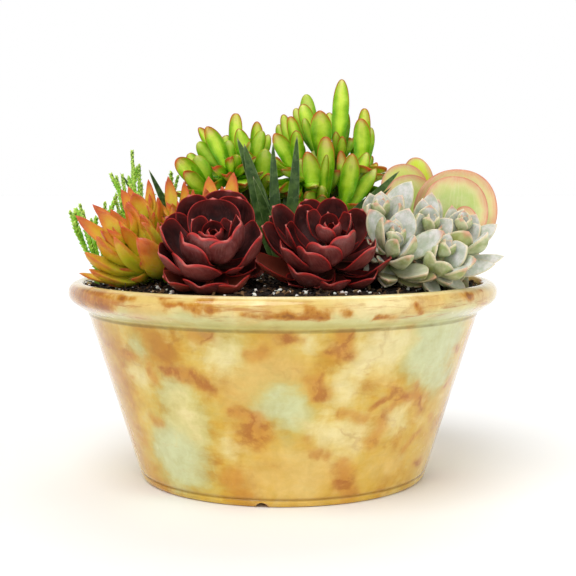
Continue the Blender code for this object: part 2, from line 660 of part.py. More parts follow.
def pot_profile():
    """Anticlockwise from the inside of the foot ring: foot, wall, ledge, rim, then the inside."""
    ledge = WALL_TOP - 3.2
    floor = BASE_RAISE + BASE_THICKNESS
    return [
        (FOOT_RADIUS - 7.0, 0.0), (FOOT_RADIUS - 0.6, 0.0), (FOOT_RADIUS + 0.6, 0.8),
        (FOOT_RADIUS + 1.7, FOOT_HEIGHT - 0.5),
        (wall_radius(FOOT_HEIGHT + 1.0), FOOT_HEIGHT + 1.0), (wall_radius(ledge - 0.4), ledge - 0.4),
        (WALL_TOP_RADIUS + 0.2, ledge + 0.3), (WALL_TOP_RADIUS, WALL_TOP), (104.4, 88.6), (106.6, 91.4),
        (RIM_RADIUS, 94.1), (106.9, 96.6), (104.8, RIM_TOP), (103.4, 98.1),
        (101.2, 93.0), (96.4, 86.6), (wall_radius(ledge) - WALL, ledge - 2.0),
        (wall_radius(floor + 3.0) - WALL, floor + 3.0), (wall_radius(floor) - WALL - 2.4, floor),
        (DRAIN_RADIUS, floor), (DRAIN_RADIUS, BASE_RAISE), (FOOT_RADIUS - 8.0, BASE_RAISE),
    ]


def soil_profile():
    """From the underside on the pot's floor up the wall to the slightly crowned top."""
    floor = BASE_RAISE + BASE_THICKNESS + FIT
    low = wall_radius(BASE_RAISE + BASE_THICKNESS + 3.0) - WALL
    ledge = WALL_TOP - 3.2
    return [
        (low - 3.6, floor), (low - 0.5, floor + 3.4), (wall_radius(ledge) - WALL - 0.5, ledge - 2.0),
        (95.6, 86.6), (SOIL_EDGE_RADIUS, 92.8), (SOIL_EDGE_RADIUS - 0.4, SOIL_EDGE), SOIL_SHOULDER,
        (SOIL_LEVEL_RADIUS, SOIL_CROWN),
    ]


# Blender objects


def mesh_object(name, points, faces, smooth=True):
    mesh = bpy.data.meshes.new(name)
    mesh.from_pydata([tuple(p * MM) for p in points], [], faces)
    mesh.update()
    obj = bpy.data.objects.new(name, mesh)
    bpy.context.scene.collection.objects.link(obj)
    if smooth:
        mesh.shade_smooth()
    return obj


def material(name, colour, roughness):
    found = bpy.data.materials.get(name)
    if found is None:
        found = bpy.data.materials.new(name)
        found.use_nodes = True
        shader = found.node_tree.nodes["Principled BSDF"]
        shader.inputs["Base Color"].default_value = (*colour, 1)
        shader.inputs["Roughness"].default_value = roughness
    return found


def bake_modifiers(obj):
    """Replaces an object's mesh by the one that its modifiers make."""
    graph = bpy.context.evaluated_depsgraph_get()
    mesh = bpy.data.meshes.new_from_object(obj.evaluated_get(graph))
    obj.modifiers.clear()
    obj.data = mesh


def boolean_with(obj, shapes, operation):
    """One Boolean of obj with all the shapes, applied, and the shapes' objects then removed."""
    group = bpy.data.collections.new(obj.name + "_tools")
    bpy.context.scene.collection.children.link(group)
    tools = []
    for points, faces in shapes:
        tool = mesh_object(obj.name + "_tool", points, faces, smooth=False)
        bpy.context.scene.collection.objects.unlink(tool)
        group.objects.link(tool)
        tools.append(tool)
    step = obj.modifiers.new(operation.title(), "BOOLEAN")
    step.operation = operation
    step.operand_type = "COLLECTION"
    step.collection = group
    step.solver = "EXACT"
    bpy.context.view_layer.update()
    bake_modifiers(obj)
    for tool in tools:
        mesh = tool.data
        bpy.data.objects.remove(tool)
        bpy.data.meshes.remove(mesh)
    bpy.data.collections.remove(group)


def signed_volume(faces):
    total = 0.0
    for face in faces:
        first = face.verts[0].co
        for a, b in zip(face.verts[1:], face.verts[2:]):
            total += first.dot(a.co.cross(b.co)) / 6
    return total


def keep_outer_body(obj):
    """Drops loose scraps and the walls of sealed hollows, which fills them."""
    body = bmesh.new()
    body.from_mesh(obj.data)
    unseen = set(body.faces)
    islands = []
    while unseen:
        stack = [unseen.pop()]
        island = []
        while stack:
            face = stack.pop()
            island.append(face)
            for edge in face.edges:
                for other in edge.link_faces:
                    if other in unseen:
                        unseen.remove(other)
                        stack.append(other)
        islands.append(island)
    islands.sort(key=signed_volume, reverse=True)
    loose = [face for island in islands[1:] for face in island]
    bmesh.ops.delete(body, geom=loose, context="FACES")
    body.to_mesh(obj.data)
    body.free()


def make_pot():
    pot = mesh_object("pot", *lathe_mesh(pot_profile(), POT_SEGMENTS, True))
    notches = []
    for azimuth in NOTCH_AZIMUTHS:
        out = Vector((math.cos(math.radians(azimuth)), math.sin(math.radians(azimuth)), 0))
        path = [out * (FOOT_RADIUS - 12) - UP, out * (FOOT_RADIUS + 6) - UP]
        notches.append(tube_mesh(path, [NOTCH_RADIUS] * 2, 12))
    boolean_with(pot, notches, "DIFFERENCE")
    pot.data.set_sharp_from_angle(angle=math.radians(50))
    pot.data.materials.clear()
    pot.data.materials.append(material("marbled_glaze", (0.78, 0.55, 0.22), 0.18))


def make_soil(plants):
    soil = mesh_object("soil", *lathe_mesh(soil_profile(), SOIL_SEGMENTS, False))
    holes = []
    for plant in plants:
        low = stem_foot(*plant["soil"]) - UP * FIT
        radius = (plant["stem"] + FIT) / math.cos(math.pi / HOLE_SIDES)
        holes.append(tube_mesh([low, low + UP * (HOLE_DEPTH + 14)], [radius] * 2, HOLE_SIDES))
    boolean_with(soil, holes, "DIFFERENCE")
    soil.data.materials.clear()
    soil.data.materials.append(material("dark_soil", (0.03, 0.02, 0.014), 0.95))


def make_plant(plant):
    shapes = parts_of(plant)
    obj = mesh_object(plant["name"], *shapes[0])
    boolean_with(obj, shapes[1:], "UNION")
    keep_outer_body(obj)
    if plant["name"] in KEPT_FACES:
        thin = obj.modifiers.new("Thin out", "DECIMATE")
        thin.ratio = KEPT_FACES[plant["name"]]
        bake_modifiers(obj)
    obj.data.materials.clear()
    obj.data.materials.append(material(*LOOKS[plant["form"]]))


def main():
    for obj in list(bpy.data.objects):
        bpy.data.objects.remove(obj)
    plants = planting()
    pot = lathe_mesh(pot_profile(), POT_SEGMENTS, True)
    soil = lathe_mesh(soil_profile(), SOIL_SEGMENTS, False)
    settle(plants, [obstacle(*pot), obstacle(*soil)])
    make_pot()
    make_soil(plants)
    for plant in plants:
        make_plant(plant)


main()
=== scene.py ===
"""Looks of the succulent dish garden: fine leaves, a marbled glaze and gritty soil.

Lengths are in millimetres, and MM turns them into metres when a mesh is made. The planting repeats
the rules of the model's source, so that every fine leaf lies where its plain solid lies.
"""

import math
import random

import bmesh
import bpy
import numpy as np
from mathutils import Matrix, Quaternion, Vector, noise
from mathutils.bvhtree import BVHTree


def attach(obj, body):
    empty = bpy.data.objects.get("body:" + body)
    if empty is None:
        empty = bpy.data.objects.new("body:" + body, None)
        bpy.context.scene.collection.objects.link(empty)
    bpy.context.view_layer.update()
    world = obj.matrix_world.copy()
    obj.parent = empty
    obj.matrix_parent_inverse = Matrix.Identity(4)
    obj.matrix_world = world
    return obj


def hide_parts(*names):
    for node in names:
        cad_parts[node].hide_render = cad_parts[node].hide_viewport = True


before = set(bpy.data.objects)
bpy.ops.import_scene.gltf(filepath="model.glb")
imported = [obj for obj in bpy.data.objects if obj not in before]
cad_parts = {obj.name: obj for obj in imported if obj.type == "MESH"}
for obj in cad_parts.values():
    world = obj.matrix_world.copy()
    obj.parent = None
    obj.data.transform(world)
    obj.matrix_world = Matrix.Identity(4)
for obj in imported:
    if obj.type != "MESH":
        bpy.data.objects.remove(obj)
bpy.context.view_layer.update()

MM = 0.001
UP = Vector((0, 0, 1))
FRONT = Vector((0, -1, 0))
GOLDEN_ANGLE = math.radians(137.5)
OLD_ANGLE = math.radians(105)
QUARTER = 0.5 * math.pi

# Pot
RIM_RADIUS = 107.25
RIM_TOP = 98.9
WALL_TOP_RADIUS = 97.7
WALL_TOP = 84.4
FOOT_RADIUS = 71.6
FOOT_HEIGHT = 3.8
WALL = 4.6
BASE_RAISE = 3.0
INNER_FLOOR = BASE_RAISE + 5.0
PLAIN_LEDGE = WALL_TOP - 3.2
LEDGE = WALL_TOP - 1.7
DRAIN_RADIUS = 7.0
NOTCH_RADIUS = 3.3
NOTCH_AZIMUTHS = (-97.5, 22.5, 142.5)
POT_SEGMENTS = 32
FINE_POT_SEGMENTS = 320
LONGEST_STRETCH = 1.5

# Soil
SOIL_EDGE_RADIUS = 100.2
SOIL_EDGE = 95.2
SOIL_SEGMENTS = 18
SOIL_SHOULDER = (84.0, 98.4)
SOIL_LEVEL_RADIUS = 55.0
SOIL_CROWN = 100.0
HOLE_DEPTH = 9.0
FIT = 0.35

# Plain shapes of the plants, which only settle where each leaf lies.
CLEARANCE = 0.32
STEM_SIDES = 5
CHAIN_SIDES = 4
CHAIN_STEP = 6.2
INNER_SPEARS = 3
LEAST_THICKNESS = 0.9
ROWS = {"cupped": 4, "pointed": 3, "diamond": 3, "finger": 3, "spear": 3, "paddle": 3}
SIDES = {"cupped": 6, "pointed": 4, "diamond": 4, "finger": 4, "spear": 4, "paddle": 8}

# How far a leaf may be bent to clear its neighbours: lift, turn, then share of its length.
BENDS = [(0, 0, 1.0)] + sorted(
    (
        (lift, turn, share)
        for lift in (-32, -24, -16, -8, 0, 8, 16, 24, 32, 42)
        for turn in (-30, -20, -10, 0, 10, 20, 30)
        for share in (1.0, 0.88, 0.76)
    ),
    key=lambda bend: abs(bend[0]) + abs(bend[1]) + 90 * (1 - bend[2]),
)

# The eye of the photograph: its place, its picture's size and focal length in pixels, its pitch.
EYE = Vector((2.5, -582.8, 142.7))
VIEW_SIZE = 576
VIEW_FOCUS = 1150
VIEW_PITCH = 4.78
SENSOR = 36.0


def seen(right, up, depth):
    """A place right and up on the plane y = 0, carried along the line of sight to a depth."""
    share = (depth - EYE.y) / -EYE.y
    return Vector((EYE.x + (right - EYE.x) * share, depth, EYE.z + (up - EYE.z) * share))


def soil_top(x, y):
    """Height of the soil under a stem: level in the middle, falling gently to the rim."""
    radius = math.hypot(x, y)
    shoulder_radius, shoulder = SOIL_SHOULDER
    if radius < SOIL_LEVEL_RADIUS:
        return SOIL_CROWN
    if radius < shoulder_radius:
        share = (radius - SOIL_LEVEL_RADIUS) / (shoulder_radius - SOIL_LEVEL_RADIUS)
        return SOIL_CROWN + (shoulder - SOIL_CROWN) * share
    share = (radius - shoulder_radius) / (SOIL_EDGE_RADIUS - shoulder_radius)
    return shoulder + (SOIL_EDGE - shoulder) * share


def stem_foot(x, y):
    return Vector((x, y, soil_top(x, y) - HOLE_DEPTH + FIT))


# Leaf forms, as shares of the width or length, and how blunt the end is.
FORMS = {
    "cupped": dict(root=0.16, widest=0.66, thick=0.11, cup=0.26, curl=0.12, blunt=2.3),
    "pointed": dict(root=0.34, widest=0.42, thick=0.42, cup=0.08, curl=0.09, blunt=1.6),
    "diamond": dict(root=0.22, widest=0.58, thick=0.30, cup=0.10, curl=0.07, blunt=1.6),
    "finger": dict(root=0.28, widest=0.70, thick=0.42, cup=0.05, curl=0.05, blunt=2.0),
    "spear": dict(root=0.86, widest=0.22, thick=0.34, cup=0.12, curl=0.03, blunt=1.15),
    "paddle": dict(root=0.26, widest=0.56, thick=0.06, cup=0.05, curl=0.04, blunt=2.1),
    "scale": dict(root=0.8, widest=0.35, thick=0.34, cup=0.16, curl=0.10, blunt=1.4),
}

# How much a shown leaf faces the front, and how much wider it is than the drawing shows it.
TOWARDS_VIEW = {"cupped": 0.0, "pointed": 0.5, "diamond": 0.5, "finger": 3.0, "spear": 3.0}
STOUT = {"cupped": 1.0, "pointed": 1.25, "diamond": 1.22, "finger": 1.08, "spear": 1.15}


def width_share(form, t):
    if t < form["widest"]:
        return form["root"] + (1 - form["root"]) * math.sin(QUARTER * t / form["widest"])
    beyond = (t - form["widest"]) / (1 - form["widest"])
    return (1 - beyond ** form["blunt"]) ** (1 / form["blunt"])


def leaf_rows(form, count):
    """Shares of a leaf's length, closer together towards a round end."""
    round_end = min(1.0, max(0.0, form["blunt"] - 1.0))
    even = [row / count for row in range(count)]
    return [(1 - round_end) * x + round_end * math.sin(QUARTER * x) for x in even]


def ring_faces(rows, sides):
    """Quads between successive rings of points."""
    faces = []
    for low in range(0, (rows - 1) * sides, sides):
        for turn in range(sides):
            a, b = low + turn, low + (turn + 1) % sides
            faces.append((a, b, b + sides, a + sides))
    return faces


def ring_triangles(rows, sides):
    return [half for a, b, c, d in ring_faces(rows, sides) for half in ((a, b, c), (a, c, d))]


def end_faces(rows, sides):
    """The faces that close the first and the last ring."""
    last = (rows - 1) * sides
    return [tuple(reversed(range(sides))), tuple(range(last, last + sides))]


def tip_faces(rows, sides):
    """Triangles from the last ring to the single point after it."""
    last = (rows - 1) * sides
    return [(last + k, last + (k + 1) % sides, last + sides) for k in range(sides)]


def leaf_mesh(leaf, grow=0.0):
    """A closed blade from root to tip. grow thickens it on every side, for testing clearance."""
    form = FORMS[leaf["form"]]
    rows, sides = ROWS[leaf["form"]], SIDES[leaf["form"]]
    if leaf.get("plain"):
        rows, sides = rows - 1, 4
    along = leaf["tip"] - leaf["root"]
    length = along.length + grow
    along.normalize()
    face = (leaf["face"] - leaf["face"].dot(along) * along).normalized()
    side = along.cross(face)
    width = leaf["width"]
    points = []
    for t in leaf_rows(form, rows):
        share = width_share(form, t)
        thick = form["thick"] * width * share ** 0.6 * (1 - 0.25 * t)
        thick = max(thick, LEAST_THICKNESS) / 2 + grow
        half = width * share / 2 + grow
        drop = 4 * form["curl"] * length * t * (1 - t)
        for turn in range(sides):
            angle = 2 * math.pi * turn / sides
            across = math.cos(angle)
            lift = thick * math.sin(angle) + form["cup"] * width * share * across ** 2 - drop
            points.append(leaf["root"] + along * (t * length) + side * (half * across) + face * lift)
    points.append(leaf["tip"] + along * grow)
    start = end_faces(rows, sides)[0]
    return points, [start, *ring_triangles(rows, sides), *tip_faces(rows, sides)]


def tube_mesh(path, radii, sides):
    """A closed tube along a list of points, with its own radius at each."""
    points = []
    side = None
    for i, (centre, radius) in enumerate(zip(path, radii)):
        ahead = (path[min(i + 1, len(path) - 1)] - path[max(i - 1, 0)]).normalized()
        if side is None:
            side = Vector((1, 0, 0)) if abs(ahead.x) < 0.9 else Vector((0, 1, 0))
        side = (side - side.dot(ahead) * ahead).normalized()
        other = ahead.cross(side)
        for k in range(sides):
            angle = 2 * math.pi * k / sides
            points.append(centre + (side * math.cos(angle) + other * math.sin(angle)) * radius)
    start, end = end_faces(len(path), sides)
    return points, [start, *ring_triangles(len(path), sides), end]


def bent_path(start, lift, end, pull, count):
    """Points from start, rising by lift, then round to end, which the path reaches along pull."""
    first = start + UP * lift
    near = first + UP * (0.35 * (end - first).length)
    far = end - pull * (0.35 * (end - first).length)
    path = [start]
    for i in range(count):
        t = i / (count - 1)
        outer = first * (1 - t) ** 3 + end * t ** 3
        path.append(outer + near * (3 * t * (1 - t) ** 2) + far * (3 * t * t * (1 - t)))
    return path


def axis_of(tilt, azimuth):
    """A unit axis leaning by tilt degrees from straight up towards azimuth degrees (0 is +X)."""
    lean = math.radians(tilt)
    turn = math.radians(azimuth)
    return Vector((math.sin(lean) * math.cos(turn), math.sin(lean) * math.sin(turn), math.cos(lean)))


def way_of(leaf):
    return (leaf["tip"] - leaf["root"]).normalized()


def leaf_root(head, axis, opening, radial, span, core):
    """Where a leaf leaves its stem: the wider it opens, the lower."""
    return head - axis * (span * min(opening / QUARTER, 1.25)) + radial * core


def listed_leaf(head, axis, spec, form, span, core):
    """A leaf whose tip shows at (right, up) on the front drawing, this far behind its head."""
    right, up, behind, width = spec
    tip = seen(right, up, head.y + behind)
    out = tip - head
    opening = out.angle(axis)
    radial = out - out.dot(axis) * axis
    radial = radial.normalized() if radial.length > 1e-6 else axis.orthogonal().normalized()
    root = leaf_root(head, axis, opening, radial, span, core)
    face = axis + TOWARDS_VIEW[form] * FRONT
    age = opening / OLD_ANGLE
    return dict(root=root, tip=tip, face=face, width=width * STOUT[form], form=form, age=age)


def ruled_leaf(head, axis, form, opening, azimuth, length, width, span, core):
    """A leaf placed by its angle from the axis and its turn about it."""
    radial = Quaternion(axis, azimuth) @ axis.orthogonal().normalized()
    out = axis * math.cos(opening) + radial * math.sin(opening)
    root = leaf_root(head, axis, opening, radial, span, core)
    return dict(
        root=root, tip=root + out * length, face=axis.copy(), width=width, form=form, plain=True,
        age=opening / OLD_ANGLE,
    )


def rosette_leaves(plant):
    """The leaves that the photograph shows, then leaves by the golden angle on the hidden side."""
    head, axis, form = plant["head"], plant["axis"], plant["form"]
    span, core = plant["span"], plant["core"]
    leaves = [listed_leaf(head, axis, spec, form, span, core) for spec in plant["shown"]]
    shown = [way_of(leaf) for leaf in leaves]
    count, length, width, inner, outer = plant["filled"]
    for k in range(count):
        share = (k + 0.5) / count
        opening = math.radians(inner + (outer - inner) * share)
        size = 0.55 + 0.45 * share
        turn = k * GOLDEN_ANGLE + plant["turn"]
        leaf = ruled_leaf(head, axis, form, opening, turn, length * size, width * size, span, core)
        out = way_of(leaf)
        hidden = out.y >= plant["back"] and all(out.angle(other) >= plant["gap"] for other in shown)
        if hidden or not shown:
            leaves.append(leaf)
    return leaves


def rosette(name, form, soil, head, axis, span, core, filled, shown=(), turn=0.0, back=0.1):
    """One rosette on its stem, from its place on the soil to its heart, the head.

    filled is (count, length, width, inner angle, outer angle) of the leaves placed by rule, and
    span is the length of stem that carries leaves.
    """
    stem = 3.0
    axis = axis_of(*axis)
    plant = dict(
        name=name, form=form, head=head, axis=axis, span=span, core=core, shown=shown,
        filled=filled, turn=turn, gap=0.45, back=back,
    )
    foot = stem_foot(*soil)
    path = bent_path(foot, HOLE_DEPTH + 3.0, head - axis * span, axis, 4)
    radii = [stem] * (len(path) - 1) + [core + 0.6]
    path += [head - axis * (0.45 * span), head - axis * 0.5]
    radii += [core, 0.9]
    plant["tubes"] = [(path, radii)]
    plant["leaves"] = rosette_leaves(plant)
    return plant


def branching(name, form, soil, heads):
    """A branching plant. Each head is (place, axis, filled, shown, turn), as in a rosette."""
    stem, span, core = 3.4, 5.0, 1.6
    foot = stem_foot(*soil)
    fork = foot + UP * (HOLE_DEPTH + 6.0)
    plant = dict(name=name, form=form, leaves=[], heads=[])
    trunk = [foot, foot + UP * HOLE_DEPTH, fork, fork + UP * 3]
    plant["tubes"] = [(trunk, [stem, stem, stem, stem * 0.8])]
    for place, axis, filled, shown, turn in heads:
        lean = axis_of(*axis)
        path = bent_path(fork, 1.0, place - lean, lean, 3) + [place]
        radii = [stem * 0.8] + [stem * 0.72] * (len(path) - 2) + [core * 0.8]
        plant["tubes"].append((path, radii))
        head = dict(
            head=place, axis=lean, form=form, span=span, core=core, shown=shown,
            filled=filled, turn=turn, gap=0.5, back=-0.35,
        )
        plant["heads"].append(head)
        plant["leaves"] += rosette_leaves(head)
    return plant


def spear_plant(name, soil, shown, turn):
    """Stiff tapering leaves that rise together from a short crown in the soil."""
    foot = stem_foot(*soil)
    crown = foot + UP * (HOLE_DEPTH + 4.0)
    plant = dict(name=name, form="spear", leaves=[])
    path = [foot, foot + UP * HOLE_DEPTH, crown, crown + UP * 3]
    plant["tubes"] = [(path, [4.6, 4.6, 3.6, 1.5])]
    for right, up, depth, width in shown:
        tip = seen(right, up, depth)
        out = (tip - crown).normalized()
        face = UP + TOWARDS_VIEW["spear"] * FRONT
        leaf = dict(root=crown - out, tip=tip, face=face, width=width, form="spear")
        plant["leaves"].append(leaf)
    for k in range(INNER_SPEARS):
        azimuth = math.radians(turn + 55 * k)
        out = Vector((0.4 * math.cos(azimuth), 0.4 * math.sin(azimuth), 1)).normalized()
        tip = crown + out * (34 + 5 * k)
        leaf = dict(root=crown - out, tip=tip, face=UP.copy(), width=6.4, form="spear", plain=True)
        plant["leaves"].append(leaf)
    return plant


def paddle_plant(name, soil, discs):
    """Broad round leaves on a short stem."""
    foot = stem_foot(*soil)
    plant = dict(name=name, form="paddle", leaves=[])
    top = foot + UP * (HOLE_DEPTH + 9.0)
    trunk = [foot, foot + UP * HOLE_DEPTH, foot + UP * (HOLE_DEPTH + 4), top]
    plant["tubes"] = [(trunk, [3.6, 3.6, 3.4, 2.6])]
    face = Vector((0, -1, 0.25))
    for low_right, low, right, high, depth, width in discs:
        root = seen(low_right, low, depth)
        tip = seen(right, high, depth + 2)
        plant["leaves"].append(dict(root=root, tip=tip, face=face, width=width, form="paddle"))
        stalk = [top - UP * 3, (top + root) / 2 - UP, root + (tip - root) * 0.12]
        plant["tubes"].append((stalk, [2.4, 2.0, 1.6]))
    return plant


def chain_plant(name, soil, tips):
    """Slender stems, each a close stack of four-ranked scale leaves, from one crown in the soil."""
    foot = stem_foot(*soil)
    crown = foot + UP * (HOLE_DEPTH + 3.0)
    plant = dict(name=name, form="chain", leaves=[])
    path = [foot, foot + UP * HOLE_DEPTH, crown, crown + UP * 2.5]
    plant["tubes"] = [(path, [4.0, 4.0, 4.0, 2.0])]
    plant["chains"] = [dict(root=crown, tip=seen(*tip), face=UP, radius=2.0) for tip in tips]
    return plant


# Tips of shown leaves, as (right, up, depth behind the head, width).
ECHEVERIA_LEFT = (
    (-35.5, 139, 13, 22), (-47.5, 140.5, 15, 17), (-22, 139.5, 15, 20), (-27, 143, 20, 22),
    (-62, 124.5, -3, 18), (-59, 129.5, 8, 17), (-63, 111.5, -11, 17), (-50, 117, -12, 19),
    (-21.5, 127, -8, 17), (-49, 105.5, -19, 21), (-11, 121, -4, 23), (-58, 97, -14, 16),
    (-42.5, 94.5, -19, 18), (-38, 125, 3, 11), (-33.5, 126.5, 2, 11), (-24, 95, -16, 18),
)
ECHEVERIA_RIGHT = (
    (25.5, 139.5, 11, 14), (33, 130.5, 6, 9), (40, 133.5, 12, 13), (8.5, 135.5, 10, 13),
    (11.5, 138.5, 18, 14), (-5, 135, 10, 14), (1.5, 125.5, -2, 13), (-6.5, 130, 14, 12),
    (-10.5, 125, 2, 14), (-13.5, 107.5, -6, 15), (-0.5, 114.5, -15, 15), (7, 101.5, -20, 17),
    (32.5, 120.5, -12, 15), (46.5, 115, -12, 15), (54.5, 109, -4, 15), (25.5, 123, -4, 11),
    (24, 127.5, 4, 12), (24, 95.5, -17, 16), (46, 99, -12, 14),
)
SEDUM_FRONT = (
    (-104.5, 130.5, -2, 6.5), (-96, 136, 6, 6), (-93.5, 133, -4, 6.5), (-87, 133.5, 6, 6),
    (-82, 125, -9, 6), (-92, 123, -10, 5), (-94, 120, -14, 8), (-85.5, 120, -15, 7),
    (-74, 119, -22, 10.5), (-100, 112, -12, 8), (-98, 103.5, -10, 6.5),
    (-103, 101.5, 0, 5), (-71.5, 127, -10, 7), (-72, 131, -4, 7), (-79, 137, 0, 8),
)
SEDUM_MIDDLE = (
    (-81.5, 143.5, 4, 6), (-78, 145, 8, 5), (-75.5, 142, -5, 8), (-69, 135.5, -9, 5),
    (-68, 148.5, 4, 5), (-63.5, 139.5, -6, 5),
)
SEDUM_BEHIND = (
    (-58, 150, 0, 5), (-62, 147.5, 8, 5), (-50, 147.5, 6, 5), (-56, 136.5, -8, 5), (-45.5, 143.5, 4, 5),
)
SEDUM_BACK = (
    (-37.5, 150, 6, 7), (-25, 152, 4, 8), (-39, 144, -5, 6), (-31, 145, -6, 6), (-44, 141, 2, 6),
)
GHOST_1 = (
    (44, 141.5, 4, 8), (49.5, 142.5, 5, 9), (64.5, 147.5, 2, 10), (60, 140.5, -5, 8),
    (60, 134.5, -9, 7), (43, 136, -8, 8),
)
GHOST_2 = (
    (44, 133.5, -1, 9), (53.5, 128, -6, 8), (63.5, 134, 3, 10), (49.5, 124.5, -14, 7),
    (58, 122, -9, 6), (66.5, 119.5, -13, 8), (54, 118.5, -15, 6), (81, 122.5, -6, 9),
    (64, 110.5, -20, 8), (73, 101.5, -16, 9), (77.5, 99.5, -8, 7), (53.5, 98, -12, 7),
)
GHOST_3 = (
    (70.5, 139, 2, 7), (75, 142, 6, 8), (74.5, 135.5, -3, 8), (83, 128.5, -6, 8),
    (78.5, 138.5, 8, 7), (69, 131.5, -6, 7),
)
GHOST_4 = (
    (93, 115, -6, 10), (97.5, 108.5, -7, 8), (111.5, 110, 6, 6), (107, 106, 2, 7),
    (93, 104, -16, 8), (81.5, 121.5, 2, 7), (78.5, 115.5, -9, 6), (73, 111, -12, 8), (83, 107, -16, 8),
)
GHOST_5 = (
    (84, 135, 4, 7), (91, 133.5, 2, 9), (97.5, 131, 2, 8), (99.5, 125.5, -5, 8),
    (108, 126, 4, 7), (103, 121, -14, 10), (87, 119.5, -14, 9),
)

# Tips of spear leaves, as (right, up, depth, width).
SPEARS_CENTRE = (
    (-23, 169.5, -16, 6.5), (-19.5, 166.5, -20, 7), (-15, 150, -26, 4.5), (-5, 167, -18, 6.2),
    (7, 170.5, -20, 6.4), (58.5, 153, -26, 7), (54.5, 145, -20, 4.5),
)
SPEARS_LEFT = ((-82, 152, 14, 6.5), (-67.5, 153.5, 10, 6.5))

# Paddle leaves, as (root right, root up, tip right, tip up, depth, width).
PADDLES = (
    (86.5, 106, 89.5, 154, -20.5, 41), (84, 110, 88, 150.5, -27, 32.5), (68, 119, 61, 151, -14, 26),
    (69, 128, 66.5, 160, -4, 26), (92, 118, 92, 135.5, -33, 12),
)

# Tips of scaly stems, as (right, up, depth).
CHAINS_LEFT_BACK = (
    (-76, 162.5, 10), (-81, 150.5, 6), (-78, 151, 14), (-72.5, 155.5, 12), (-65.5, 154, 16),
    (-58.5, 157.5, 18), (-71.5, 146, 2), (-84, 137, 2),
)
CHAINS_LEFT_FRONT = (
    (-107.5, 132, -10), (-102.5, 135.5, -4), (-101, 132, -14), (-90, 136.5, -4), (-97, 128, 4),
)
CHAINS_REAR = ((-14, 140, 70), (-4, 136, 66), (-18, 124, 90), (2, 130, 74))


# Leaves by rule, as (count, length, width, inner angle, outer angle).
NONE = (0, 1, 1, 0, 1)
FEW = (9, 26, 9, 20, 105)
MANY = (11, 30, 10.5, 15, 90)

# Heads of the jade plants, as (place, lean and azimuth, leaves by rule, shown leaves, turn).
JADE_LEFT = (
    (seen(-27, 154.5, 2), (14, 170), FEW, (
        (-42.5, 175, 6, 7), (-38.5, 175.5, -3, 9), (-43, 167.5, -4, 8.5), (-29, 171, 8, 7),
        (-27.5, 168.5, -3, 7), (-23.5, 182, 4, 7.5), (-23, 161, -9, 6.5)), 0.4),
    (seen(-38, 143, -2), (28, 175), FEW, (
        (-53.5, 159.5, -4, 10.5), (-47.5, 162, 6, 8), (-43.5, 161, -5, 10.5), (-50, 153, -9, 8),
        (-35.5, 158.5, 8, 8)), 1.3),
    (seen(-15.5, 155.5, 4), (6, 30), FEW, (
        (-22.5, 174.5, -5, 8.5), (-13, 178, 2, 7), (-10.5, 173.5, -4, 7), (-7, 171.5, 4, 7),
        (-17.5, 169.5, 8, 7), (-18.5, 163.5, -8, 6)), 2.0),
    (seen(-8.5, 142.5, 2), (8, -60), NONE, (
        (-9, 164.5, -6, 10), (-7.5, 152, -9, 8), (-12.5, 159.5, 6, 8)), 0.0),
)
JADE_RIGHT = (
    (seen(7, 154.5, 4), (16, 180), FEW, (
        (-2.5, 176.5, 6, 7), (0, 181.5, 4, 6.5), (3.5, 180.5, 0, 7), (-4.5, 172, -5, 9),
        (6.5, 173.5, -9, 7.5), (8.5, 167.5, 8, 7)), 0.0),
    (seen(19, 162.5, 4), (6, 120), NONE, (
        (11.5, 191.5, 6, 9), (9.5, 186.5, 2, 8.5), (6, 184.5, 8, 7), (10.5, 179.5, -3, 5),
        (18.5, 183.5, -8, 11.5), (23.5, 182.5, 10, 8)), 0.0),
    (seen(28, 161, 8), (6, 30), FEW, (
        (29.5, 199, -2, 9), (31.5, 184, 2, 7), (26.5, 173, -6, 5), (30, 170.5, -8, 5),
        (34.5, 169.5, 8, 6)), 1.0),
    (seen(40, 152.5, 10), (10, 20), FEW, (
        (41, 184.5, 2, 7.5), (39, 179.5, -5, 9.5), (44.5, 175, 4, 7), (36.5, 171, 8, 7)), 2.0),
    (seen(19, 135.5, -4), (14, -90), NONE, (
        (21.5, 170.5, -4, 9.5), (12, 163, -6, 10), (8.5, 159.5, -1, 7), (22, 161.5, -10, 4.5),
        (12, 142.5, -9, 9), (20, 141, -9, 7), (15.5, 163.5, 6, 8)), 0.0),
    (seen(32, 135.5, -2), (16, -30), NONE, (
        (35, 162, -5, 10), (42.5, 162.5, 1, 8), (47, 154.5, -3, 8), (47.5, 157.5, 5, 7),
        (29, 163.5, 4, 6.5)), 0.0),
)
JADE_BACK = (
    (Vector((-16, 46, 136)), (25, 120), MANY, (), 0.2),
    (Vector((4, 58, 130)), (25, 80), MANY, (), 1.1),
    (Vector((24, 46, 137)), (20, 50), MANY, (), 2.3),
)


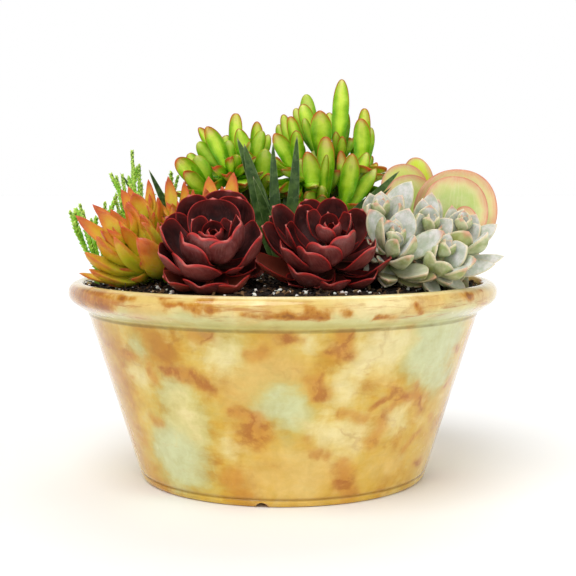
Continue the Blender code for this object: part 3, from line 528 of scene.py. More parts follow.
def planting():
    """Every plant, the ones at the front first, because later leaves give way to earlier ones."""
    return [
        rosette("echeveria_left", "cupped", (-34, -56), seen(-35, 117, -66), (38, -90), 15, 3.6,
                (12, 27, 19, 40, 100), ECHEVERIA_LEFT),
        rosette("echeveria_right", "cupped", (22, -54), seen(24, 119.5, -62), (34, -90), 16, 3.6,
                (12, 30, 17, 40, 100), ECHEVERIA_RIGHT),
        rosette("golden_sedum_front", "pointed", (-66, -38), seen(-80.5, 121.5, -44), (38, 200), 23, 2.6,
                (16, 22, 8.5, 30, 105), SEDUM_FRONT, back=-0.6),
        rosette("ghost_plant_2", "diamond", (56, -50), seen(57, 119, -58), (38, -80), 14, 2.6,
                (16, 17, 10, 30, 112), GHOST_2, back=-1.1),
        rosette("ghost_plant_4", "diamond", (78, -46), seen(81.5, 112.5, -56), (40, -60), 12, 2.6,
                (14, 16, 10, 30, 112), GHOST_4, back=-1.1),
        rosette("ghost_plant_1", "diamond", (48, -36), seen(49.5, 132.5, -44), (30, -90), 15, 2.4,
                (16, 17, 10, 30, 112), GHOST_1, back=-1.1),
        paddle_plant("paddle_plant", (80, -8), PADDLES),
        rosette("ghost_plant_3", "diamond", (72, -36), seen(74.5, 125.5, -47), (30, -70), 15, 2.4,
                (14, 15, 9, 30, 112), GHOST_3, back=-1.1),
        rosette("ghost_plant_5", "diamond", (86, -34), seen(91, 125.5, -46), (32, -70), 15, 2.4,
                (12, 14, 9, 30, 112), GHOST_5, back=-1.1),
        rosette("golden_sedum_middle", "pointed", (-72, -16), seen(-72, 131.5, -22), (18, 180), 14, 2.2,
                (12, 20, 7, 25, 95), SEDUM_MIDDLE, back=-1.1),
        rosette("golden_sedum_behind", "pointed", (-54, -20), seen(-54, 131.5, -24), (12, 180), 14, 2.2,
                (9, 18, 6.5, 25, 90), SEDUM_BEHIND, back=-1.1),
        rosette("golden_sedum_back", "pointed", (-34, -22), seen(-34, 132.5, -26), (10, 120), 14, 2.2,
                (9, 18, 6.5, 25, 90), SEDUM_BACK, back=-1.1),
        spear_plant("spear_plant_centre", (0, -18), SPEARS_CENTRE, 30),
        branching("jade_right", "finger", (24, 12), JADE_RIGHT),
        branching("jade_left", "finger", (-26, 14), JADE_LEFT),
        spear_plant("spear_plant_left", (-48, 12), SPEARS_LEFT, 60),
        chain_plant("chain_plant_back", (-74, 12), CHAINS_LEFT_BACK),
        chain_plant("chain_plant_left", (-92, 0), CHAINS_LEFT_FRONT),
        branching("jade_back", "finger", (4, 44), JADE_BACK),
        rosette("echeveria_back", "cupped", (-36, 62), Vector((-38, 70, 116)), (34, 115), 13, 3.6,
                (20, 31, 20, 12, 95)),
        rosette("golden_sedum_rear", "pointed", (-72, 42), Vector((-76, 48, 124)), (24, 150), 18, 2.4,
                (22, 27, 9, 12, 98)),
        rosette("ghost_plant_back", "diamond", (40, 70), Vector((44, 78, 116)), (28, 60), 9, 2.4,
                (18, 25, 12.5, 14, 98)),
        rosette("ghost_plant_rear", "diamond", (6, 84), Vector((6, 86, 114)), (26, 90), 10, 2.4,
                (15, 22, 11, 16, 96), turn=0.5),
        rosette("echeveria_rear", "cupped", (72, 42), Vector((76, 48, 114)), (32, 30), 12, 3.4,
                (17, 30, 19, 12, 95)),
        chain_plant("chain_plant_rear", (-12, 66), CHAINS_REAR),
    ]


def tree_of(points, faces):
    return BVHTree.FromPolygons([tuple(p) for p in points], faces)


def box_of(points):
    low = Vector([min(p[i] for p in points) for i in range(3)])
    high = Vector([max(p[i] for p in points) for i in range(3)])
    return low, high


def obstacle(points, faces):
    return box_of(points), tree_of(points, faces)


def boxes_meet(a, b):
    return all(a[0][i] < b[1][i] and b[0][i] < a[1][i] for i in range(3))


def is_clear(points, faces, obstacles):
    box = box_of(points)
    near = [tree for other, tree in obstacles if boxes_meet(box, other)]
    if not near:
        return True
    mine = tree_of(points, faces)
    return not any(mine.overlap(tree) for tree in near)


def bent(leaf, lift, turn, share):
    out = leaf["tip"] - leaf["root"]
    level = out.cross(UP)
    level = level.normalized() if level.length > 1e-6 else Vector((1, 0, 0))
    spin = Quaternion(UP, math.radians(turn)) @ Quaternion(level, math.radians(lift))
    return dict(leaf, tip=leaf["root"] + (spin @ out) * share, face=spin @ leaf["face"])


def inside_bounds(points):
    return all(max(abs(p.x), abs(p.y)) < RIM_RADIUS - 0.2 for p in points)


def chain_place(chain, t):
    """A place on a leaning stem that curves upright, and its direction there."""
    root, tip = chain["root"], chain["tip"]
    reach = tip - root
    middle = root + Vector((reach.x * 0.62, reach.y * 0.62, reach.z * 0.42))
    place = root * (1 - t) ** 2 + middle * (2 * t * (1 - t)) + tip * t ** 2
    ahead = (middle - root) * (2 * (1 - t)) + (tip - middle) * (2 * t)
    return place, ahead.normalized()


def chain_mesh(chain, grow=0.0):
    """A plain scaly stem, as thick and thin rings."""
    count = max(4, int((chain["tip"] - chain["root"]).length / CHAIN_STEP))
    path, radii = [], []
    for i in range(2 * count + 1):
        t = i / (2 * count)
        path.append(chain_place(chain, t)[0])
        radii.append(chain["radius"] * (1.0 if i % 2 else 0.72) * (1 - 0.25 * t ** 4) + grow)
    radii[-1] = chain["radius"] * 0.35 + grow
    return tube_mesh(path, radii, CHAIN_SIDES)


def stem_meshes(plant):
    return [tube_mesh(path, radii, STEM_SIDES) for path, radii in plant["tubes"]]


def parts_of(plant):
    """The plain closed shapes of a plant: its stems, its leaves and its scaly stems."""
    leaves = [leaf_mesh(leaf) for leaf in plant["leaves"]]
    return stem_meshes(plant) + leaves + [chain_mesh(chain) for chain in plant["chains"]]


def settle(plants, fixed):
    """Turns each leaf by the least bend that clears the pot, the soil and the plants before it.

    A leaf that no bend clears is left out.
    """
    stems = {
        plant["name"]: [obstacle(*shape) for shape in stem_meshes(plant)] for plant in plants
    }
    placed = []
    for plant in plants:
        around = fixed + placed
        for other, trees in stems.items():
            if other != plant["name"]:
                around += trees
        for key, mesh_of in (("leaves", leaf_mesh), ("chains", chain_mesh)):
            kept = []
            for item in plant.get(key, ()):
                for bend in BENDS:
                    trial = bent(item, *bend)
                    shape = mesh_of(trial, CLEARANCE)
                    if inside_bounds(shape[0]) and is_clear(*shape, around):
                        kept.append(trial)
                        break
            plant[key] = kept
        placed += [obstacle(*shape) for shape in parts_of(plant)]


# Pot and soil


def ring_places(radius, count):
    angles = [2 * math.pi * k / count for k in range(count)]
    return [(radius * math.cos(angle), radius * math.sin(angle)) for angle in angles]


def lathe_mesh(profile, segments, closed_ring):
    """A turned body. The profile is (radius, height); a closed ring never reaches the axis."""
    points = [
        Vector((x, y, height)) for radius, height in profile for x, y in ring_places(radius, segments)
    ]
    faces = ring_faces(len(profile) + closed_ring, segments)
    faces = [tuple(i % len(points) for i in face) for face in faces]
    return points, faces if closed_ring else faces + end_faces(len(profile), segments)


def wall_radius(height):
    """Outer radius of the straight wall, between the foot band and the ledge under the rim."""
    share = (height - FOOT_HEIGHT) / (WALL_TOP - 4.0 - FOOT_HEIGHT)
    return FOOT_RADIUS + 1.6 + (WALL_TOP_RADIUS - 1.0 - FOOT_RADIUS - 1.6) * share


def inside_profile(ledge):
    """From under the ledge down the inside, through the drain hole, to the foot ring."""
    return [
        (wall_radius(ledge) - WALL, ledge - 2.0),
        (wall_radius(INNER_FLOOR + 3.0) - WALL, INNER_FLOOR + 3.0),
        (wall_radius(INNER_FLOOR) - WALL - 2.4, INNER_FLOOR), (DRAIN_RADIUS, INNER_FLOOR),
        (DRAIN_RADIUS, BASE_RAISE), (FOOT_RADIUS - 8.0, BASE_RAISE),
    ]


def pot_profile():
    """Anticlockwise from the inside of the foot ring: foot, wall, ledge, rim, then the inside."""
    return [
        (FOOT_RADIUS - 7.0, 0.0), (FOOT_RADIUS - 0.6, 0.0), (FOOT_RADIUS + 0.6, 0.8),
        (FOOT_RADIUS + 1.7, FOOT_HEIGHT - 0.5),
        (wall_radius(FOOT_HEIGHT + 1.0), FOOT_HEIGHT + 1.0),
        (wall_radius(PLAIN_LEDGE - 0.4), PLAIN_LEDGE - 0.4),
        (WALL_TOP_RADIUS + 0.2, PLAIN_LEDGE + 0.3), (WALL_TOP_RADIUS, WALL_TOP), (104.4, 88.6), (106.6, 91.4),
        (RIM_RADIUS, 94.1), (106.9, 96.6), (104.8, RIM_TOP), (103.4, 98.1),
        (101.2, 93.0), (96.4, 86.6), *inside_profile(PLAIN_LEDGE),
    ]


def soil_profile():
    """From the underside on the pot's floor up the wall to the slightly crowned top."""
    floor = INNER_FLOOR + FIT
    low = wall_radius(INNER_FLOOR + 3.0) - WALL
    high = wall_radius(PLAIN_LEDGE) - WALL
    return [
        (low - 3.6, floor), (low - 0.5, floor + 3.4), (high - 0.5, PLAIN_LEDGE - 2.0),
        (95.6, 86.6), (SOIL_EDGE_RADIUS, 92.8), (SOIL_EDGE_RADIUS - 0.4, SOIL_EDGE), SOIL_SHOULDER,
        (SOIL_LEVEL_RADIUS, SOIL_CROWN),
    ]


# Fine leaves: thickness above and below the middle, keel, fullness of rim, and own shares.
FINE = {
    "cupped": dict(
        rows=22, sides=22, above=0.9, below=1.1, keel=0.4, rim=0.85, wave=0.35, point=0.8, stout=1.12,
        form=dict(root=0.42, widest=0.62, cup=0.27, curl=0.2),
    ),
    "pointed": dict(
        rows=16, sides=16, above=0.5, below=1.3, keel=0.55, rim=0.9, wave=0.3, point=0.7, stout=1.0,
        form=dict(root=0.5, widest=0.42, thick=0.62, blunt=1.55),
    ),
    "diamond": dict(
        rows=16, sides=16, above=0.55, below=1.2, keel=0.6, rim=0.9, wave=0.2, point=0.7, stout=1.1,
        form=dict(root=0.42, widest=0.56, thick=0.42),
    ),
    "finger": dict(
        rows=18, sides=18, above=0.55, below=1.25, keel=0.15, rim=0.9, wave=0.5, point=0.0, stout=0.88,
        form=dict(root=0.5, widest=0.64, thick=0.54, cup=0.2, blunt=2.35), vary=(1.3, 0.75),
    ),
    "spear": dict(
        rows=18, sides=14, above=0.3, below=1.3, keel=0.3, rim=0.9, wave=0.1, point=0.6, stout=1.35,
        form=dict(widest=0.30, blunt=1.5),
    ),
    "paddle": dict(
        rows=26, sides=28, above=0.9, below=1.0, keel=0.0, rim=0.8, wave=1.2, point=0.0, stout=1.0,
        form={},
    ),
    "scale": dict(
        rows=4, sides=6, above=0.8, below=1.0, keel=0.4, rim=1.0, wave=0.0, point=0.2, stout=1.0,
        form=dict(thick=0.5, cup=0.3, curl=-0.12),
    ),
}

# What each fine point tells the materials about its place on the leaf, and about the leaf.
VALUES = ("along", "margin", "middle", "upper", "chance", "age", "stem")

OUTLINE_ROWS = 60
FINE_STEM_SIDES = 12
SCALE_STEP = 1.0
SIDE_STRANDS = (0.45, 0.62, 0.78)
SIDE_STRAND_TOP = 196.0

# Small closed leaves in a rosette's middle, as (number, first size, step of size).
HEARTS = {"cupped": (7, 0.26, 0.055), "pointed": (7, 0.3, 0.06), "diamond": (5, 0.42, 0.06)}

# Added leaves: tries round a rosette, least angle and room between leaves, and their limits.
GAP_TRIES = 46
GAP_ANGLE = 0.36
PAIR_STEP = 6.5
HEAD_ROOM = 0.2
BRANCH_ROOM = 0.4
BRANCH_LEAF_TOP = 168.0


def linked(name, data):
    """A new object in the scene that holds this data."""
    obj = bpy.data.objects.new(name, data)
    bpy.context.scene.collection.objects.link(obj)
    return obj


def mesh_object(name, points, faces):
    mesh = bpy.data.meshes.new(name)
    mesh.from_pydata((np.asarray(points) * MM).tolist(), [], faces)
    return linked(name, mesh)


class Shape:
    """Points, faces and per-point values of one piece, gathered leaf by leaf."""

    def __init__(self):
        self.points = []
        self.faces = []
        self.values = {name: [] for name in VALUES}
        self.count = 0

    def add(self, points, faces, **values):
        points = np.asarray(points, float)
        self.points.append(points)
        self.faces += [tuple(i + self.count for i in face) for face in faces]
        for name in VALUES:
            value = np.broadcast_to(np.asarray(values.get(name, 0.0), float), len(points))
            self.values[name].append(value)
        self.count += len(points)

    def object(self, name):
        obj = mesh_object(name, np.concatenate(self.points), self.faces)
        obj.data.shade_smooth()
        for key in VALUES:
            layer = obj.data.attributes.new(key, "FLOAT", "POINT")
            layer.data.foreach_set("value", np.concatenate(self.values[key]).astype(np.float32))
        return obj


def fine_leaf(shape, leaf, chance):
    """Adds one smooth leaf: full in section, keeled, a little wavy, with values for its colours."""
    fine = FINE[leaf["form"]]
    form = {**FORMS[leaf["form"]], **fine["form"]}
    cup_change, point_change = fine.get("vary", (0.0, 0.0))
    form["cup"] *= 1 + cup_change * (2 * chance - 1)
    form["blunt"] -= point_change * (7.3 * chance % 1)
    rows, sides, width = fine["rows"], fine["sides"], leaf["width"] * fine["stout"]
    root, tip, face = (np.array(leaf[key]) for key in ("root", "tip", "face"))
    length = np.linalg.norm(tip - root)
    along = (tip - root) / length
    face = face - face.dot(along) * along
    face /= np.linalg.norm(face)
    side = np.cross(along, face)
    t = np.array(leaf_rows(form, rows))
    share = np.array([width_share(form, place) for place in t])
    angle = 2 * math.pi * np.arange(sides) / sides
    across = np.sign(np.cos(angle)) * np.abs(np.cos(angle)) ** fine["rim"]
    height = np.sin(angle)
    keel = 1 + fine["keel"] * (1 - np.abs(across)) ** 2
    section = np.where(height > 0, fine["above"] * height, fine["below"] * height * keel)
    thick = form["thick"] * width * share ** 0.6 * (1 - 0.25 * t) / 2
    half = width * share / 2
    drop = 4 * form["curl"] * length * t * (1 - t)
    wave = fine["wave"] * np.sin(2 * math.pi * (1.4 * t + 5 * chance)) * share
    lift = thick[:, None] * section + form["cup"] * width * share[:, None] * across ** 2
    lift += wave[:, None] * across * np.abs(across) - drop[:, None]
    sway = 0.03 * length * (2 * chance - 1) * np.sin(math.pi * t)
    flat = np.stack([np.repeat(t * length, sides), (half[:, None] * across).ravel()], axis=1)
    points = root + np.outer(flat[:, 0], along) + np.outer(flat[:, 1] + np.repeat(sway, sides), side)
    points += np.outer(lift.ravel(), face)
    points = np.vstack([points, tip + along * fine["point"]])
    edge = [
        (place * length, width_share(form, place) * width / 2)
        for place in leaf_rows(form, OUTLINE_ROWS) if place > 0.04
    ]
    edge = np.vstack([edge, np.multiply(edge, (1, -1)), (length, 0)])
    margin = np.sqrt(((flat[:, None] - edge[None]) ** 2).sum(axis=2).min(axis=1))
    faces = ring_faces(rows, sides) + tip_faces(rows, sides) + end_faces(rows, sides)[:1]
    shape.add(
        points, faces, along=np.append(np.repeat(t, sides), 1.0), margin=np.append(margin, 0.0),
        middle=np.append(np.tile(1 - np.abs(across), rows), 0.5),
        upper=np.append(np.tile(np.clip(0.5 + 1.5 * height, 0, 1), rows), 0.5), chance=chance,
        age=leaf.get("age", 0.5),
    )


def smooth_path(path, radii, steps=5):
    """A finer path through the same points, and its radii."""
    fine, sizes = [], []
    for i in range(len(path) - 1):
        before, start = path[max(i - 1, 0)], path[i]
        end, after = path[i + 1], path[min(i + 2, len(path) - 1)]
        for step in range(steps):
            t = step / steps
            bend = (end - before) * t + (before * 2 - start * 5 + end * 4 - after) * t ** 2
            bend += (start * 3 - before - end * 3 + after) * t ** 3
            fine.append(start + bend * 0.5)
            sizes.append(radii[i] + (radii[i + 1] - radii[i]) * t)
    return fine + [path[-1]], sizes + [radii[-1]]


def fine_stem(shape, path, radii, chance):
    path, radii = smooth_path(path, radii)
    radii = [r * (1 + 0.06 * noise.noise(p * 0.5)) for p, r in zip(path, radii)]
    points, faces = tube_mesh(path, radii, FINE_STEM_SIDES)
    along = np.repeat(np.linspace(0, 1, len(path)), FINE_STEM_SIDES)
    values = dict(along=along, margin=9.0, chance=chance, age=0.5, stem=1.0)
    shape.add([tuple(p) for p in points], faces, **values)


def fine_strand(shape, places, luck):
    """A thin stem hidden under pairs of small pointed scales, each pair square to the last."""
    stem = [place for place, _ in places]
    fine_stem(shape, stem[::4] + [stem[-1]], [0.75] * (len(stem[::4]) + 1), luck.random())
    spin = luck.uniform(0, math.pi)
    for i, (place, ahead) in enumerate(places):
        t = i / len(places)
        size = 1.0 - 0.4 * max(0.0, t - 0.7) / 0.3
        first = ahead.orthogonal().normalized()
        for half_turn in (0, math.pi):
            angle = spin + i * QUARTER + half_turn + luck.uniform(-0.25, 0.25)
            out = Quaternion(ahead, angle) @ first
            reach = (ahead * luck.uniform(0.85, 1.05) + out * luck.uniform(0.42, 0.62)).normalized()
            root = place + out * 0.4
            scale = dict(
                root=root, tip=root + reach * (2.5 * size), face=ahead - out * 0.3,
                width=2.2 * size, form="scale", age=1 - t,
            )
            fine_leaf(shape, scale, luck.random())


def fine_chain(shape, chain, luck):
    """One strand, and short side strands on its upper part."""
    length = (chain["tip"] - chain["root"]).length
    count = int(length / SCALE_STEP)
    places = [chain_place(chain, i / count) for i in range(count + 1)]
    fine_strand(shape, places, luck)
    for share in SIDE_STRANDS:
        place, ahead = places[int(share * count)]
        if luck.random() < 0.35:
            continue
        turn = Quaternion(ahead, luck.uniform(0, 2 * math.pi))
        out = (turn @ ahead.orthogonal().normalized() * 0.75 + ahead + UP * 0.35).normalized()
        steps = int(luck.uniform(8, 14))
        side = [(place + out * (SCALE_STEP * k) + UP * (0.02 * k * k), out) for k in range(steps)]
        if side[-1][0].z < SIDE_STRAND_TOP and abs(side[-1][0].x) < RIM_RADIUS - 1:
            fine_strand(shape, side, luck)


def heart_leaves(plant):
    """The small closed leaves in the middle of a rosette."""
    _, length, width, _, _ = plant["filled"]
    leaves = []
    count, first, step = HEARTS[plant["form"]]
    for k in range(count):
        opening = math.radians(7 + 5 * k)
        size = first + step * k
        leaf = ruled_leaf(
            plant["head"], plant["axis"], plant["form"], opening, k * GOLDEN_ANGLE,
            length * size, width * size * 1.1, plant["span"] * 0.5, plant["core"] * 0.2,
        )
        leaves.append(dict(leaf, age=0.0))
    return leaves


# Leaves that the photograph shows narrower than the plain solids, as (number, width share).
NARROWER = {
    "paddle_plant": ((3, 0.62),),
    "spear_plant_centre": ((3, 0.75), (4, 0.78), (5, 0.8), (6, 0.7)),
    "spear_plant_left": ((0, 0.55), (1, 0.6)),
}

# The paddle leaf half behind the others.
HIDDEN_PADDLE = dict(
    root=seen(66, 122, -9), tip=seen(58, 156.5, -7), face=Vector((0.1, -1, 0.25)), width=25,
    form="paddle",
)

# How sunlit and yellow each paddle leaf is.
PADDLE_AGES = (0.15, 0.0, 0.3, 1.0, 0.0, 0.5)

# Leaves that close the middles of the two front rosettes, as (right, up, behind, width).
MIDDLE_LEAVES = {
    "echeveria_left": ((-41, 119, -14, 17), (-28.5, 118, -14, 15)),
    "echeveria_right": ((20, 115, -15, 15), (12, 112, -16, 15)),
}


def gap_leaves(plant, leaves, luck):
    """Leaves by the golden angle wherever a rosette leaves its stem open to view."""
    _, length, width, inner, outer = plant["filled"]
    outs = [way_of(leaf) for leaf in leaves]
    added = []
    for k in range(GAP_TRIES):
        share = (k + 0.5) / GAP_TRIES
        opening = math.radians(inner + 8 + (outer + 6 - inner) * share)
        size = (0.5 + 0.42 * share) * luck.uniform(0.9, 1.0)
        leaf = ruled_leaf(
            plant["head"], plant["axis"], plant["form"], opening, k * GOLDEN_ANGLE + 1.0,
            length * size, width * size, plant["span"], plant["core"] * 0.8,
        )
        out = way_of(leaf)
        low = leaf["tip"].z - soil_top(leaf["tip"].x, leaf["tip"].y) < 1.5
        high = leaf["tip"].z > BRANCH_LEAF_TOP
        if not low and not high and all(out.angle(other) > GAP_ANGLE for other in outs):
            outs.append(out)
            added.append(leaf)
    return added


def branch_leaves(plant, luck):
    """Pairs of leaves along each branch of a jade plant, each pair square to the last."""
    leaves = []
    for path, _ in plant["tubes"][1:]:
        fine, _ = smooth_path(path, [1.0] * len(path), 8)
        reach = 0.0
        turn = luck.uniform(0, math.pi)
        for i in range(1, len(fine) - 1):
            reach += (fine[i] - fine[i - 1]).length
            if reach < PAIR_STEP:
                continue
            reach = 0.0
            turn += QUARTER + luck.uniform(-0.3, 0.3)
            ahead = (fine[i + 1] - fine[i - 1]).normalized()
            for half_turn in (0, math.pi):
                radial = Quaternion(ahead, turn + half_turn) @ ahead.orthogonal().normalized()
                out = (radial + ahead * luck.uniform(0.5, 0.9) + UP * 0.35).normalized()
                length = luck.uniform(11.0, 17.0)
                tip = fine[i] + out * length
                if tip.z - soil_top(tip.x, tip.y) < 4 or tip.z > BRANCH_LEAF_TOP:
                    continue
                leaves.append(dict(
                    root=fine[i] + out * 0.8, tip=tip, face=ahead + UP * 0.6,
                    width=length * luck.uniform(0.42, 0.52), form="finger", age=0.8,
                ))
    return leaves


def crosses(leaf, others, room):
    """Whether its outer half comes nearer to another's middle line than a share of its width."""
    for other in others:
        run = other["tip"] - other["root"]
        for share in (0.5, 0.75, 1.0):
            place = leaf["root"].lerp(leaf["tip"], share)
            along = min(1.0, max(0.0, (place - other["root"]).dot(run) / run.length_squared))
            if (place - other["root"] - run * along).length < room * other["width"]:
                return True
    return False


def fine_plant(plant):
    """One piece for a whole plant, in place of its plain solid."""
    luck = random.Random(plant["name"])
    shape = Shape()
    for path, radii in plant["tubes"]:
        fine_stem(shape, path, radii, luck.random())
    leaves = [dict(leaf) for leaf in plant["leaves"]]
    for place, share in NARROWER.get(plant["name"], ()):
        leaves[place]["width"] *= share
    if plant["form"] == "paddle":
        leaves.append(dict(HIDDEN_PADDLE))
        for leaf, age in zip(leaves, PADDLE_AGES):
            leaf["age"] = age
    leaves += [
        listed_leaf(plant["head"], plant["axis"], spec, plant["form"], plant["span"], plant["core"])
        for spec in MIDDLE_LEAVES.get(plant["name"], ())
    ]
    if "head" in plant:
        leaves += gap_leaves(plant, leaves, luck) + heart_leaves(plant)
    for head in plant.get("heads", ()):
        more = gap_leaves(head, leaves, luck)
        leaves += [leaf for leaf in more if not crosses(leaf, leaves, HEAD_ROOM)]
    if plant["form"] == "finger":
        more = branch_leaves(plant, luck)
        leaves += [leaf for leaf in more if not crosses(leaf, leaves, BRANCH_ROOM)]
    for leaf in leaves:
        fine_leaf(shape, leaf, luck.random())
    for chain in plant.get("chains", ()):
        fine_chain(shape, chain, luck)
    return shape.object(plant["name"] + "_leaves")


# Pot


def between(start, end, t):
    return (start[0] + (end[0] - start[0]) * t, start[1] + (end[1] - start[1]) * t)


def stretches(profile):
    """The start, end and length of each stretch of a closed profile."""
    for start, end in zip(profile, profile[1:] + profile[:1]):
        yield start, end, math.hypot(end[0] - start[0], end[1] - start[1])


def refine(profile, longest):
    """The profile with its corners cut once and its long stretches divided."""
    corners = []
    for start, end, length in stretches(profile):
        share = min(0.25, 0.6 / length)
        corners += [between(start, end, share), between(start, end, 1 - share)]
    fine = []
    for start, end, length in stretches(corners):
        outside = start[0] > wall_radius(start[1]) - 2
        count = max(1, math.ceil(length / (longest if outside else 2 * longest)))
        fine += [between(start, end, k / count) for k in range(count)]
    return fine


def fine_pot_profile():
    """The pot's profile with its rim and foot drawn as arcs."""
    bend = 5.4
    rim_centre, rim_height = RIM_RADIUS - bend, RIM_TOP - bend
    bulge = [
        (rim_centre + bend * math.cos(angle), rim_height + bend * math.sin(angle))
        for angle in map(math.radians, range(-50, 100, 10))
    ]
    lip = [(rim_centre - 1.4, RIM_TOP - 0.5), (rim_centre - 2.2, RIM_TOP - 1.9)]
    return [
        (FOOT_RADIUS - 7.0, 0.0), (FOOT_RADIUS - 0.6, 0.0), (FOOT_RADIUS + 0.5, 0.7),
        (FOOT_RADIUS + 1.3, FOOT_HEIGHT - 0.9), (FOOT_RADIUS + 0.6, FOOT_HEIGHT - 0.2),
        (wall_radius(FOOT_HEIGHT + 0.8), FOOT_HEIGHT + 0.8), (wall_radius(LEDGE - 0.6), LEDGE - 0.6),
        (WALL_TOP_RADIUS + 0.1, LEDGE + 0.3), (WALL_TOP_RADIUS, WALL_TOP), (100.8, 86.2),
        *bulge, *lip, (97.2, 88.0), *inside_profile(LEDGE),
    ]


# Marbling: soft patches as (degrees right of the front, height, radius).
PATCHES = {
    "mint": (
        (-34, 51, 6.6), (-29, 42, 6.6), (-41, 26, 5.6), (-39, 21, 7.5), (-35, 14, 7.5), (-22, 90, 5.6),
        (-41, 96, 3.4), (-1, 47, 6.6), (50, 74, 6.6), (52, 64, 5.6), (43, 81, 5.6), (3, 48, 5.6),
        (52, 92, 4.7), (44, 92, 3.7), (39, 72, 4.7), (-15, 76, 4.7), (46, 69, 7.0), (58, 77, 6.0),
        (57, 55, 5.0), (34, 79, 4.2), (-44, 74, 4.2),
    ),
    "pale": (
        (-31, 44, 5.6), (-17, 72, 6.6), (-16, 29, 4.7), (-47, 60, 4.7), (24, 72, 4.7), (29, 75, 5.6),
        (33, 79, 4.7), (17, 57, 4.7), (23, 33, 6.6), (39, 40, 5.1), (11, 38, 5.1), (20, 94, 5.6),
        (26, 96, 5.6), (12, 94, 4.2), (6, 78, 3.7), (-5, 94, 3.7), (-13, 90, 3.4),
    ),
    "pink": (
        (-10, 60, 8.4), (-5, 61, 9.4), (2, 61, 6.6), (-5, 16, 8.4), (9, 16, 8.4), (39, 18, 6.6),
        (-78, 62, 7.5), (-79, 46, 7.5), (-78, 22, 7.5), (-79, 8, 5.6), (66, 15, 5.6), (26, 66, 5.6),
    ),
}

# The brown streaks, each from one (degrees, height) to another, and its half width.
STREAKS = (
    (-34, 62, -26, 61, 1.5), (-26, 62, -22, 58, 2.9), (-22, 58, -19, 55, 1.2), (-41, 64, -41, 57, 1.3),
    (-46, 38, -42, 36, 2.0), (-14, 46, -7, 42, 1.9), (-11, 36, -9, 34, 3.7), (-9, 73, -5, 74, 2.2),
    (-5, 76, 0, 78, 1.9), (-4, 84, -2, 80, 1.7), (-23, 79, -18, 81, 2.0), (-19, 12, -16, 16, 2.6),
    (-16, 6, -13, 5, 1.7), (-52, 68, -46, 68, 1.2), (-42, 70, -40, 68, 1.3), (-66, 54, -50, 56, 1.3),
    (-9, 38, -5, 38, 1.4), (-36, 65, -32, 62, 1.2), (-84, 92, -60, 92, 3.4), (-60, 91, -48, 93, 3.0),
    (-68, 96, -52, 96, 2.4), (-43, 96, -38, 95, 1.4), (-29, 96, -27, 94, 1.5), (-27, 94, -21, 94, 1.3),
    (-21, 94, -20, 90, 1.2), (-17, 94, -16, 94, 1.5), (-9, 92, 1, 92, 1.2), (-20, 98, -16, 98, 1.2),
    (1, 92, 9, 92, 1.2), (6, 96, 9, 94, 2.0), (12, 98, 14, 94, 1.2), (33, 95, 35, 90, 1.2),
    (23, 88, 27, 88, 1.2), (49, 98, 52, 97, 1.5), (52, 97, 60, 98, 1.2), (34, 84, 36, 84, 1.2),
    (15, 80, 19, 74, 2.0), (15, 83, 18, 82, 1.4), (12, 75, 16, 74, 1.5), (8, 62, 11, 64, 1.7),
    (9, 57, 12, 56, 1.7), (10, 60, 10, 58, 2.2), (1, 80, 4, 79, 1.4), (34, 36, 31, 30, 2.4),
    (32, 40, 36, 48, 1.2), (27, 47, 32, 50, 1.2), (33, 54, 46, 48, 2.0), (44, 56, 49, 42, 1.2),
    (7, 32, 9, 29, 2.0), (10, 28, 13, 26, 1.2), (19, 20, 21, 16, 2.2), (21, 16, 24, 7, 3.6),
    (56, 37, 59, 34, 1.2), (61, 49, 65, 52, 1.2), (60, 70, 63, 68, 1.7), (45, 24, 52, 32, 1.2),
    (57, 13, 61, 14, 1.7), (18, 46, 26, 41, 1.5),
)

# The seeded patches and streaks of the hidden side.
HIDDEN_STREAKS = 74
HIDDEN_PATCHES = {"mint": 26, "pale": 24, "pink": 16}
PATCH_SIZES = {"mint": (4.5, 8), "pale": (4, 7), "pink": (6, 9)}
FRONT_EDGE = 70.0
PATCH_SEED = 7

# How wide the patches and streaks spread, how they fade and add up, and how noise warps them.
SPREAD = 2.0
STREAK_SPREAD = 1.45
HALO = 0.15
HALO_SPREAD = 2.7
FALL = 1.1
GATHER = 0.9
DEPTH = 1.3
WARP = 3.6
WARP_SEED = 1796091243
SWIRLS = ((0.05, 1.0), (0.14, 0.6), (0.4, 0.25))


def pot_place(turn, height):
    reach = RIM_RADIUS - 1 if height > WALL_TOP else wall_radius(max(height, FOOT_HEIGHT))
    angle = math.radians(turn)
    return (reach * math.sin(angle), -reach * math.cos(angle), height)


def patch_places(luck):
    """For each layer, lines as (start, end, half width): the listed ones, then seeded ones behind."""
    places = {}
    for kind, spots in PATCHES.items():
        spots = list(spots)
        for _ in range(HIDDEN_PATCHES[kind]):
            turn = luck.uniform(FRONT_EDGE, 360 - FRONT_EDGE)
            spots.append((turn, luck.uniform(2, 99), luck.uniform(*PATCH_SIZES[kind])))
        places[kind] = [(pot_place(*s[:2]), pot_place(*s[:2]), SPREAD * s[2]) for s in spots]
    streaks = list(STREAKS)
    for _ in range(HIDDEN_STREAKS):
        turn, height = luck.uniform(FRONT_EDGE, 360 - FRONT_EDGE), luck.uniform(3, 98)
        rise = luck.uniform(-7, 7) * (height < WALL_TOP - 6)
        streaks.append((turn, height, turn + luck.uniform(2, 9), height + rise, luck.uniform(1.2, 3.2)))
    places["brown"] = [(pot_place(*s[:2]), pot_place(*s[2:4]), STREAK_SPREAD * s[4]) for s in streaks]
    return places


